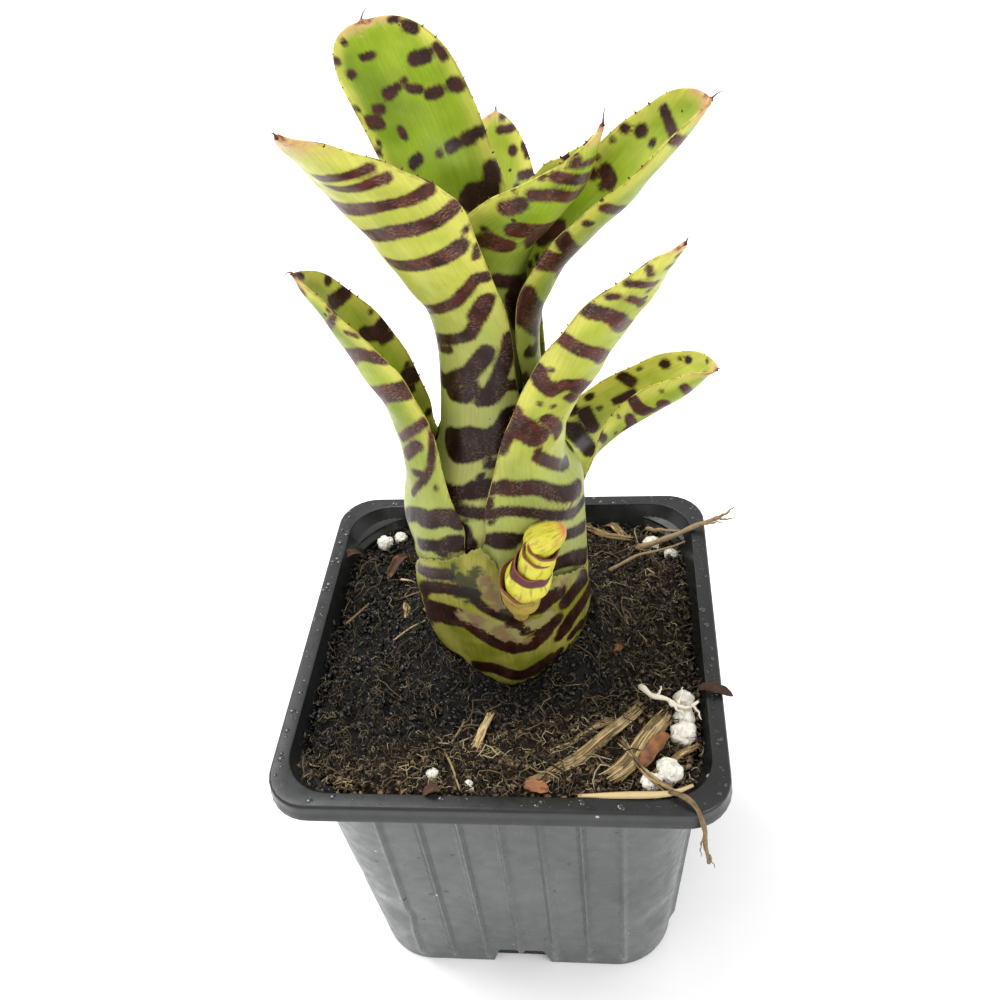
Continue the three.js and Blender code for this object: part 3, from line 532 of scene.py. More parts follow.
# Dry flakes: X, Y, Z, length, width, heading, and colour tone
FLAKES = [
    (30.6, -30.2, 79.9, 10.0, 2.7, 53, 0.75), (-28.4, 23.6, 77.2, 8.5, 2.4, 62, 0.6),
    (-40.0, 25.8, 78.2, 5.5, 2.0, 40, 0.55), (43.2, -16.4, 80.7, 7.2, 2.2, -8, 0.3),
    (8.0, -38.6, 78.9, 5.0, 2.6, -5, 0.85), (19.1, -4.9, 78.6, 2.2, 1.4, 20, 0.7),
    (23.8, -3.7, 78.2, 2.4, 1.6, 70, 0.9), (-11.8, -40.7, 80.3, 3.6, 1.8, 10, 0.6),
]
# Dead roots and the twig: radius at both ends, colour tone, and points of the line
ROOTS = [
    (0.62, 0.3, 1.0, (28.2, -15.0, 79.7), (30.5, -17.4, 80.2), (33.7, -18.9, 80.3), (37.0, -20.4, 80.0),
     (39.8, -19.0, 80.1)),
    (0.42, 0.16, 0.95, (33.7, -18.8, 80.2), (35.2, -20.9, 80.3), (36.9, -22.6, 80.6)),
    (0.36, 0.1, 1.0, (35.6, -19.8, 80.4), (36.3, -18.0, 81.3), (36.6, -16.9, 82.1)),
    (0.3, 0.1, 0.95, (31.5, -18.0, 80.4), (32.2, -16.8, 80.9), (32.4, -15.4, 80.6)),
    (0.3, 0.1, 0.95, (38.2, -20.0, 80.2), (39.4, -21.4, 80.2), (39.9, -23.0, 79.7)),
    (0.55, 0.38, 0.3, (33.0, -40.2, 80.6), (36.2, -42.2, 81.2), (38.0, -44.2, 81.0), (39.1, -45.9, 76.6),
     (39.6, -46.2, 71.5), (40.3, -46.4, 66.8)),
    (0.24, 0.05, 0.35, (39.1, -46.0, 75.8), (38.5, -46.7, 73.0), (38.8, -46.9, 69.6)),
    (0.2, 0.05, 0.3, (39.5, -46.1, 72.0), (40.5, -46.7, 69.0), (41.6, -46.8, 65.4)),
    (0.75, 0.5, 0.5, (26.0, 31.4, 73.8), (33.5, 30.4, 77.4), (41.0, 31.6, 80.6), (47.6, 32.8, 82.8)),
    (0.5, 0.12, 0.5, (46.6, 32.6, 82.5), (49.4, 33.2, 83.8), (51.2, 33.5, 85.6)),
    (0.36, 0.1, 0.45, (43.5, 32.0, 81.4), (46.5, 31.0, 82.9), (48.4, 30.2, 84.0)),
    (0.34, 0.1, 0.45, (47.2, 32.7, 82.7), (49.8, 31.8, 83.2), (51.3, 31.9, 84.0)),
    (0.5, 0.3, 0.4, (31.0, 35.4, 77.0), (35.0, 33.2, 78.6), (39.0, 31.8, 79.6)),
    (0.45, 0.2, 0.4, (22.0, 22.0, 76.2), (28.0, 25.4, 77.4), (36.0, 27.4, 78.4), (40.0, 28.8, 79.0)),
]
MIX_BLACK, MIX_BROWN, MIX_TAN = (9, 8, 7), (50, 36, 24), (112, 88, 60)
FIBRE_DARK, FIBRE_BROWN, FIBRE_STRAW = (22, 18, 13), (88, 72, 50), (166, 152, 116)
PERLITE_WHITE, PERLITE_GREY = (240, 236, 226), (196, 190, 176)
BARK_DARK, BARK_LIGHT, STRAW_PALE = (58, 44, 28), (120, 99, 64), (192, 170, 126)
FLAKE_BROWN, FLAKE_ORANGE = (66, 46, 32), (156, 106, 70)
ROOT_PALE, ROOT_TAN = (226, 218, 200), (140, 118, 88)


def read_off(heights, column):
    """A column of the bulb's rows at these heights, with a smooth run from row to row."""
    rows, values = BULB[:, 0], BULB[:, column]
    steps = np.diff(values) / np.diff(rows)
    slopes = np.concatenate([steps[:1], (steps[1:] + steps[:-1]) / 2, steps[-1:]])
    heights = np.clip(np.asarray(heights, float), rows[0], rows[-1])
    low = np.clip(np.searchsorted(rows, heights) - 1, 0, len(rows) - 2)
    span = rows[low + 1] - rows[low]
    t = (heights - rows[low]) / span
    start = (2 * t**3 - 3 * t**2 + 1) * values[low] + (t**3 - 2 * t**2 + t) * span * slopes[low]
    return start + (3 * t**2 - 2 * t**3) * values[low + 1] + (t**3 - t**2) * span * slopes[low + 1]


def bulb_radius(heights, layer):
    return read_off(heights, 1) + WRAP * (INNERMOST - layer)


def bulb_axis(heights):
    heights = np.asarray(heights, float)
    return np.stack([read_off(heights, 2), np.full(heights.shape, BULB_AXIS_Y), heights], axis=-1)


def mix_level(x, y):
    slope = blend(MIX_FRONT_LEVEL, MIX_BACK_LEVEL, (y + WALL_TOP_HALF) / (2 * WALL_TOP_HALF))
    coarse = np.sin(x / 3.7 + 1.1) * np.cos(y / 4.3 - 0.4)
    fine = np.sin(x / 1.9 - y / 2.6) * np.cos(y / 1.7 + x / 5.1)
    from_bulb = np.hypot(x, y - BULB_AXIS_Y)
    turned = np.degrees(np.arctan2(y - BULB_AXIS_Y, x)) % 360.0
    beside = smooth_step(np.abs(turned - HEAP_OPEN), *HEAP_SETS_IN)
    heap = HEAP_HEIGHT * beside * (1.0 - smooth_step(from_bulb, *HEAP_REACH))
    clods = np.sin(x / 0.9 + 1.7 * np.sin(y / 1.6)) * np.cos(y / 1.05 + 1.4 * np.sin(x / 1.5))
    return slope + heap + MIX_ROUGHNESS * (0.6 * coarse + 0.4 * fine + 0.5 * clods)


def brownness(x, y):
    """How brown and fibrous the mix is: black and fine on the left, brown at the front and right."""
    front = smooth_step(-y + 0.25 * x, *BROWN_FRONT)
    right = smooth_step(x + 0.2 * y, *BROWN_RIGHT)
    return np.clip(0.06 + 0.9 * front + 0.55 * right, 0.0, 1.0)


def mix_body():
    """The root ball: its side follows the pot's wall, and its top is a rough skin."""
    gap = WALL_THICKNESS + MIX_GAP
    rings = [wall_ring(height, gap)[::2] for height in (MIX_BOTTOM, 20.0, 40.0, 60.0, 70.0, 73.0)]
    edge = rings[-1]
    centre = bulb_axis(np.array(76.0))
    for share in np.linspace(1.0, 0.12, MIX_TOP_RINGS):
        ring = centre + (edge - centre) * share
        level = mix_level(ring[:, 0], ring[:, 1])
        rough = [noise.fractal(Vector(point) * 0.55, 0.7, 2.2, 5) for point in ring]
        ring[:, 2] = level + 0.75 * np.array(rough) - 0.8 * smooth_step(share, 0.9, 1.0)
        rings.append(ring)
    return lofted(rings)


def strands(paths, half_widths, half_heights=None, sides=5):
    """Closed tubes along paths of equal count of points. A flat one lies level."""
    paths = np.asarray(paths, float)
    half_widths = np.broadcast_to(np.asarray(half_widths, float), paths.shape[:2])
    half_heights = half_widths if half_heights is None else np.broadcast_to(half_heights, paths.shape[:2])
    ahead = np.gradient(paths, axis=1)
    ahead /= np.maximum(np.linalg.norm(ahead, axis=2), 1e-9)[..., None]
    across = np.cross(ahead, UP + 0.01)
    across /= np.linalg.norm(across, axis=2)[..., None]
    over = np.cross(across, ahead)
    angles = np.linspace(0.0, 2 * math.pi, sides, endpoint=False)
    rings = (paths[:, :, None]
             + across[:, :, None] * (half_widths[..., None] * np.cos(angles))[..., None]
             + over[:, :, None] * (half_heights[..., None] * np.sin(angles))[..., None])
    tubes, length = paths.shape[:2]
    first = (np.arange(tubes) * length * sides)[:, None, None]
    low = np.arange(sides)[None, None]
    high = (low + 1) % sides
    base = first + (np.arange(length - 1) * sides)[None, :, None]
    quads = np.stack([base + low, base + sides + low, base + sides + high, base + high], axis=-1)
    caps = first[:, 0] + low[0]
    faces = quads.reshape(-1, 4).tolist() + caps.tolist()
    faces.extend((caps[:, ::-1] + (length - 1) * sides).tolist())
    return rings.reshape(-1, 3), faces


def in_mouth(generator, count, inset=0.6):
    """Places on the mix's top, clear of the bulb."""
    reach = MOUTH_HALF - inset
    places = generator.uniform(-reach, reach, (count * 2, 2))
    corner = np.hypot(*np.maximum(np.abs(places) - (MOUTH_HALF - MOUTH_CORNER), 0.0).T)
    centre = bulb_axis(78.0)
    from_bulb = np.hypot(places[:, 0] - centre[0], places[:, 1] - centre[1])
    clear = (corner < MOUTH_CORNER - inset) & (from_bulb > bulb_radius(78.0, 0) + 0.2)
    return places[clear][:count]


def mix_crumbs():
    """Loose crumbs: small faceted lumps of every turn and size, part sunk in the mix."""
    generator = np.random.default_rng(5)
    places = in_mouth(generator, CRUMBS)
    count = len(places)
    brown = brownness(places[:, 0], places[:, 1])
    golden = (1 + math.sqrt(5)) / 2
    corners = np.array([(x, y, 0) for x in (-1, 1) for y in (-golden, golden)], float)
    corners = np.concatenate([corners, np.roll(corners, 1, axis=1), np.roll(corners, 2, axis=1)]) / 1.9
    hull = bmesh.new()
    for corner in corners:
        hull.verts.new(corner)
    bmesh.ops.convex_hull(hull, input=hull.verts)
    hull.verts.ensure_lookup_table()
    hull.verts.index_update()
    triangles = np.array([[vert.index for vert in face.verts] for face in hull.faces])
    corners = np.array([vert.co[:] for vert in hull.verts])
    hull.free()
    lumps = corners[None] * generator.uniform(0.55, 1.3, (count, len(corners), 1))
    turn = np.linalg.qr(generator.normal(size=(count, 3, 3)))[0]
    turn *= np.sign(np.linalg.det(turn))[:, None, None]
    size = CRUMB_LEAST + (CRUMB_MOST - CRUMB_LEAST) * generator.random(count) ** 3.2
    stretch = np.stack([generator.uniform(0.9, 1.9, count), np.ones(count), np.full(count, 0.8)], axis=1)
    lumps = np.einsum("nij,nkj->nki", turn, lumps * stretch[:, None]) * size[:, None, None]
    height = mix_level(places[:, 0], places[:, 1]) + generator.uniform(-0.25, 0.7, count)
    lumps += np.concatenate([places, height[:, None]], axis=1)[:, None]
    faces = (triangles[None] + (np.arange(count) * len(corners))[:, None, None]).reshape(-1, 3)
    tone = np.clip(brown * generator.uniform(0.2, 1.0, count) + 0.1 * generator.random(count), 0.0, 1.0)
    return lumps.reshape(-1, 3), faces.tolist(), dict(tone=np.repeat(tone, len(corners)))


def mix_fibres():
    """Curly threads of coir and fine roots that lie over the crumbs, thickest at the front right."""
    generator = np.random.default_rng(6)
    shares = np.linspace(-0.5, 0.5, 6)
    batches = []
    for wanted, shortest, longest, thick in ((FIBRES, 0.9, 3.6, 0.13), (LONG_FIBRES, 4.0, 12.0, 0.2)):
        places = in_mouth(generator, wanted, 1.6)
        brown = brownness(places[:, 0], places[:, 1])
        places = places[generator.random(len(places)) < 0.5 + 0.6 * brown]
        brown = brownness(places[:, 0], places[:, 1])
        count = len(places)
        length = generator.uniform(shortest, longest, count)
        heading = generator.uniform(0, 2 * math.pi, count)[:, None]
        curl = generator.normal(0.0, 2.2, count)[:, None]
        swing = generator.normal(0.0, 0.9, (count, 1))
        wiggle = swing * np.sin(shares * 9 + generator.uniform(0, 6, (count, 1)))
        angle = heading + curl * shares[None] + wiggle
        steps = around(angle) * (length / 5)[:, None, None]
        paths = np.cumsum(steps, axis=1)
        middles = np.concatenate([places, np.zeros((count, 1))], axis=1)[:, None]
        paths += middles - paths.mean(axis=1, keepdims=True)
        paths[..., :2] = np.clip(paths[..., :2], 0.6 - MOUTH_HALF, MOUTH_HALF - 0.6)
        arch = (0.25 - shares**2) * generator.uniform(0.0, 5.0, (count, 1)) * (0.4 + length[:, None] / 6)
        lift = generator.uniform(0.0, 0.7, (count, 1)) + 0.35 * np.sin(shares * 14 + heading)
        paths[..., 2] = mix_level(paths[..., 0], paths[..., 1]) + 0.25 + arch + lift * 0.6
        radius = generator.uniform(0.05, thick, (count, 1)) * (1.0 - 0.8 * np.abs(shares) ** 1.5)
        points, faces = strands(paths, radius, sides=3)
        tone = np.clip(generator.random(count) ** 1.6 * (0.7 + 0.3 * brown), 0.0, 1.0)
        batches.append((points, faces, np.repeat(tone, len(shares) * 3)))
    points, faces = joined([batch[:2] for batch in batches])[:2]
    return points, faces, dict(tone=np.concatenate([batch[2] for batch in batches]))


def perlite_lumps():
    """White glassy lumps, popped like corn: rounded, with pits and creases."""
    lumps = []
    for number, (x, y, radius) in enumerate(PERLITE):
        ball = bmesh.new()
        bmesh.ops.create_icosphere(ball, subdivisions=4, radius=1.0)
        ball.verts.index_update()
        faces = [[vert.index for vert in face.verts] for face in ball.faces]
        points = []
        for vert in ball.verts:
            place = vert.co * 1.4 + Vector((7.0 * number, 3.0, 0.0))
            broad = 0.22 * noise.noise(place)
            pits = max(0.0, noise.noise(place * 3.6) - 0.12)
            crease = 0.1 * noise.fractal(place * 2.2, 0.8, 2.1, 3)
            points.append(vert.co * (0.98 + broad + crease - 0.45 * pits))
        ball.free()
        points = np.array(points) * np.array([radius, radius, radius * 0.85])
        base = mix_level(x, y) + 0.35 * radius
        lumps.append((points + np.array([x, y, base]), faces))
    return joined(lumps)[:2]


def curve_through(knots, shares):
    """Points of a smooth curve through the knots, at shares of its length."""
    knots = np.asarray(knots, float)
    ends = np.concatenate([[2 * knots[0] - knots[1]], knots, [2 * knots[-1] - knots[-2]]])
    fine = []
    for number in range(len(knots) - 1):
        a, b, c, d = ends[number:number + 4]
        t = np.linspace(0.0, 1.0, 20, endpoint=False)[:, None]
        fine.append(0.5 * (2 * b + (c - a) * t + (2 * a - 5 * b + 4 * c - d) * t**2
                           + (3 * b - a - 3 * c + d) * t**3))
    fine = np.concatenate(fine + [knots[-1:]])
    gone = np.concatenate([[0.0], np.cumsum(np.linalg.norm(np.diff(fine, axis=0), axis=1))])
    wanted = np.asarray(shares, float) * gone[-1]
    return np.stack([np.interp(wanted, gone, fine[:, axis]) for axis in range(3)], axis=-1)


def on_mix(line):
    knots = np.array(line, float)
    knots[:, 2] += mix_level(knots[:, 0], knots[:, 1])
    return knots


def bark_fibres():
    """Each strip of bark as a bundle of torn strands that fray at its ends."""
    generator = np.random.default_rng(7)
    shares = np.linspace(0.0, 1.0, 12)
    batches, tones = [], []
    for half_width, tone, *line in BARK_STRIPS:
        knots = on_mix(line)
        strand_count = int(10 + 22 * half_width)
        for number in range(strand_count):
            start, end = generator.uniform(0.0, 0.16), generator.uniform(0.84, 1.0)
            path = curve_through(knots, blend(start, end, shares))
            ahead = knots[-1] - knots[0]
            across = np.array([-ahead[1], ahead[0], 0.0]) / np.hypot(ahead[0], ahead[1])
            place = generator.uniform(-1.0, 1.0)
            crown = 0.45 * half_width * (1.0 - place**2) * generator.uniform(0.2, 1.0)
            fray = generator.normal(0.0, 0.28) * (shares - 0.5) ** 3 * 8
            wave = 0.12 * np.sin(shares * generator.uniform(5, 14) + generator.uniform(0, 6))
            path = path + across * (place * half_width + fray + wave)[:, None]
            path[:, 2] += crown + 0.08 * np.sin(shares * 11 + number)
            radius = generator.uniform(0.13, 0.36) * (1.0 - 0.6 * np.abs(2 * shares - 1) ** 3)
            batches.append((path, radius * generator.uniform(0.7, 1.0)))
            tones.append(np.clip(tone + generator.normal(0.0, 0.2), 0.0, 1.0))
    points, faces = strands([path for path, radius in batches], [radius for path, radius in batches])
    return points, faces, dict(tone=np.repeat(tones, len(shares) * 5))


def loose_straws():
    """Pale straws, and a long curl of wood that lies against the rim at the front."""
    generator = np.random.default_rng(8)
    shares = np.linspace(0.0, 1.0, 10)
    paths, widths = [], []
    for x0, y0, x1, y1 in STRAWS:
        line = [(x0, y0, 0.7), ((x0 + x1) / 2 + 0.3, (y0 + y1) / 2 - 0.3, 1.4), (x1, y1, 0.8)]
        paths.append(curve_through(on_mix(line), shares))
        widths.append(generator.uniform(0.22, 0.36) * (1.0 - 0.4 * shares))
    curl = [(16.0, -40.6, 79.3), (24.7, -40.9, 80.2), (32.8, -40.4, 80.2), (37.4, -38.2, 79.8)]
    paths.append(curve_through(curl, shares))
    widths.append(0.75 * np.sin(math.pi * np.clip(shares, 0.08, 0.93)) ** 0.5)
    tops = [width * 0.8 for width in widths]
    points, faces = strands(paths, widths, tops, sides=7)
    tones = [0.75, 0.45, 0.95, 0.35, 0.8, 0.5, 0.7, 0.6, 1.0]
    return points, faces, dict(tone=np.repeat(tones, len(shares) * 7))


def dry_flakes():
    """Curled flakes of dead leaf and bark."""
    flakes, tones = [], []
    u, v = np.meshgrid(np.linspace(-1, 1, 9), np.linspace(-1, 1, 17))
    for number, (x, y, z, length, width, heading, tone) in enumerate(FLAKES):
        ends = np.sqrt(np.clip(1.0 - np.abs(v) ** 2.4, 0.0, 1.0))
        outline = ends * (1.0 + 0.12 * np.sin(9 * v + number)) + 0.02
        across, along = u * outline * width / 2, v * length / 2
        rise = 0.35 * width * u**2 * outline + 0.5 * np.sin(2.2 * v + number) - 0.12 * length * v**2
        turn = math.radians(heading)
        top = np.stack([x + along * math.cos(turn) - across * math.sin(turn),
                        y + along * math.sin(turn) + across * math.cos(turn), z + rise], axis=-1)
        loops = np.concatenate([top, (top - 0.22 * UP)[:, ::-1]], axis=1)
        flakes.append(lofted(list(loops)))
        tones.append(np.full(loops.size // 3, tone))
    return *joined(flakes)[:2], dict(tone=np.concatenate(tones))


def dead_roots():
    """A branched white root on the right, a brown one over the rim, and the twig at the back."""
    shares = np.linspace(0.0, 1.0, 14)
    paths, radii = [], []
    for number, (first, last, tone, *knots) in enumerate(ROOTS):
        bends = [np.sin(shares * 17 + number), np.cos(shares * 13 + number), np.sin(shares * 19)]
        paths.append(curve_through(knots, shares) + 0.12 * np.stack(bends, axis=1))
        radii.append(blend(first, last, shares) * (1.0 + 0.14 * np.sin(shares * 23 + 2 * number)))
    points, faces = strands(paths, radii, sides=8)
    return points, faces, dict(tone=np.repeat([root[2] for root in ROOTS], len(shares) * 8))


def field_of(tree, name):
    return add_node(tree, "ShaderNodeAttribute", attribute_name=name).outputs["Fac"]


def toned_material(name, dark, middle, light, grain, rough=(0.6, 0.95), shine=0.3):
    """A fibrous dry or moist matter whose pieces differ in tone from dark to light."""
    material, tree, shader = new_material(name, Specular_IOR_Level=shine)
    place = place_in_mm(tree)
    own = field_of(tree, "tone")
    drift = noise_of(tree, place, grain, 3.0)
    tone = worked_out(tree, "MULTIPLY_ADD", worked_out(tree, "SUBTRACT", drift, 0.5), 0.7, own)
    darker = mixed(tree, ramped(tree, tone, 0.0, 0.5), tint(*dark), tint(*middle))
    colour = mixed(tree, ramped(tree, tone, 0.5, 1.0), darker, tint(*light))
    height = noise_of(tree, place, grain * 4, 2.0)
    surfaced(tree, shader, colour, ramped(tree, drift, 0.35, 0.65, *rough), height, depth=0.15)
    return material


def moist_compost():
    """Wet peat: near black round the bulb, browner at the front and on the right."""
    material, tree, shader = new_material("moist_compost", Specular_IOR_Level=0.2)
    place = place_in_mm(tree)
    x, y = add_node(tree, "ShaderNodeSeparateXYZ", {0: place}).outputs[:2]
    forward = worked_out(tree, "MULTIPLY_ADD", x, 0.25, times(tree, y, -1.0))
    rightward = worked_out(tree, "MULTIPLY_ADD", y, 0.2, x)
    at_front = ramped(tree, forward, *BROWN_FRONT, 0.0, 0.9)
    at_right = ramped(tree, rightward, *BROWN_RIGHT, 0.0, 0.6)
    grain = noise_of(tree, place, 1.1, 5.0, 0.7)
    share = times(tree, worked_out(tree, "MAXIMUM", at_front, at_right), ramped(tree, grain, 0.35, 0.7))
    black = placed(tree, mottle, Place=place, Darker=tint(10, 8, 8), Lighter=tint(*MIX_BLACK), Patch=3.0)
    colour = mixed(tree, share, black["Colour"], tint(*MIX_BROWN))
    surfaced(tree, shader, colour, ramped(tree, grain, 0.35, 0.65, 0.4, 0.85), grain, 0.8, 0.6)
    return material


def perlite_glass():
    """Popped volcanic glass: white, with greyer hollows and dark specks of peat."""
    material, tree, shader = new_material("perlite_glass", Specular_IOR_Level=0.35)
    place = place_in_mm(tree)
    white = placed(tree, mottle, Place=place, Darker=tint(*PERLITE_GREY),
                   Lighter=tint(*PERLITE_WHITE), Patch=1.6)
    soiled = placed(tree, specks, Place=place, Spacing=0.8, Size=0.22, Patchiness=0.46)["Mask"]
    colour = mixed(tree, soiled, white["Colour"], tint(*MIX_BLACK))
    dull = ramped(tree, white["Mask"], 0.0, 1.0, 0.8, 0.55)
    surfaced(tree, shader, colour, dull, noise_of(tree, place, 2.8, 3.0))
    return material


MIX_PIECES = [
    ("mix_body", (*mix_body(), {}), moist_compost()),
    ("mix_crumbs", mix_crumbs(),
     toned_material("peat_crumb", MIX_BLACK, MIX_BROWN, MIX_TAN, 0.9, (0.14, 0.7), shine=0.5)),
    ("mix_fibres", mix_fibres(), toned_material("coir_fibre", FIBRE_DARK, FIBRE_BROWN, FIBRE_STRAW, 0.5)),
    ("mix_perlite", (*perlite_lumps(), {}), perlite_glass()),
    ("mix_bark", bark_fibres(), toned_material("shredded_bark", BARK_DARK, BARK_LIGHT, STRAW_PALE, 0.6)),
    ("mix_straws", loose_straws(), toned_material("dry_straw", BARK_DARK, BARK_LIGHT, STRAW_PALE, 0.4)),
    ("mix_flakes", dry_flakes(), toned_material("dead_leaf", FLAKE_BROWN, FLAKE_BROWN, FLAKE_ORANGE, 0.5)),
    ("mix_roots", dead_roots(), toned_material("dead_root", BARK_DARK, ROOT_TAN, ROOT_PALE, 0.7)),
]
for name, (points, faces, fields), finish in MIX_PIECES:
    heap = add_piece(name, points, faces, fields)
    heap.data.materials.append(finish)
    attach(heap, "root")
    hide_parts("growing_mix")


# The stem and its roots
# The short woody stem under the leaf bases, with a few wiry roots that hold the plant in the mix.
# The mix and the leaf bases hide it, so its shape is the CAD model's.


def woody_stem():
    """Pale wood with darker cracks along it."""
    material, tree, shader = new_material("woody_stem", Specular_IOR_Level=0.3)
    place = place_in_mm(tree)
    wood = placed(tree, mottle, Place=place, Darker=tint(96, 74, 42), Lighter=tint(160, 140, 84), Patch=4.0)
    dull = ramped(tree, wood["Mask"], 0.0, 1.0, 0.9, 0.65)
    surfaced(tree, shader, wood["Colour"], dull, noise_of(tree, place, 1.5, 4.0), depth=0.3)
    return material


bpy.data.objects["stem_and_roots"].material_slots[0].material = woody_stem()


# The leaves
# Eight stiff leaves in a spiral. Each base wraps round the bulb inside the one before it, then
# bends out into a channelled blade with small dark spines on its margins and a sharp tip.

LEAF_THICKNESS = 0.65
LOWEST_FOOT, FOOT_STEP = 55.5, 1.6
SMALLEST_BEND = 3.0
SLOPE_SPAN = 3.0
FLAT_TIP = 0.7
TIP_SPINE = 0.6
SHEATH_STEP, BLADE_STEP = 1.0, 0.65
LEAF_COLUMNS = 37
SPINE_PITCH, SPINE_LENGTH, SPINE_RADIUS = 2.7, 0.45, 0.12
RIPPLE = 0.16
WRAP_EDGE_IN, WRAP_EDGE_OUT, WRAP_TOP_FADE = -6.0, 8.0, 5.0
# A leaf base settles less and less between these heights, and past where it parts from the bulb
SETTLES_BELOW, SETTLES_ALONG = (118.0, 128.0), (0.0, 9.0)
# Where that is another at the front and at the right: degrees round the bulb
SETTLED_FRONT, SETTLED_FRONT_REACH, SETTLED_RIGHT = 265.0, 45.0, (310.0, 340.0)
# The pocket in which the side shoot stands, where no base settles: middle and reach, each as the
# degree round the bulb and the height
POCKET, POCKET_REACH = (286.0, 103.0), (11.0, 6.0)
# The torn edge of the old leaf base that wraps them all: degree round the bulb, and height
TORN_EDGE = np.array([
    (160, 70), (172, 86), (205, 101.5), (213, 106), (220, 109), (232, 111.2), (243, 112.6),
    (252, 114.5), (265, 117.3), (271, 115.3), (275, 113.5), (276.6, 112), (277.2, 105), (280, 102.3),
    (284, 101.2), (289, 101), (294, 101.8), (298, 103.6), (304, 105.5), (313, 105.8), (325, 103.5),
    (337, 101.5), (345, 99), (360, 92), (376, 70),
])
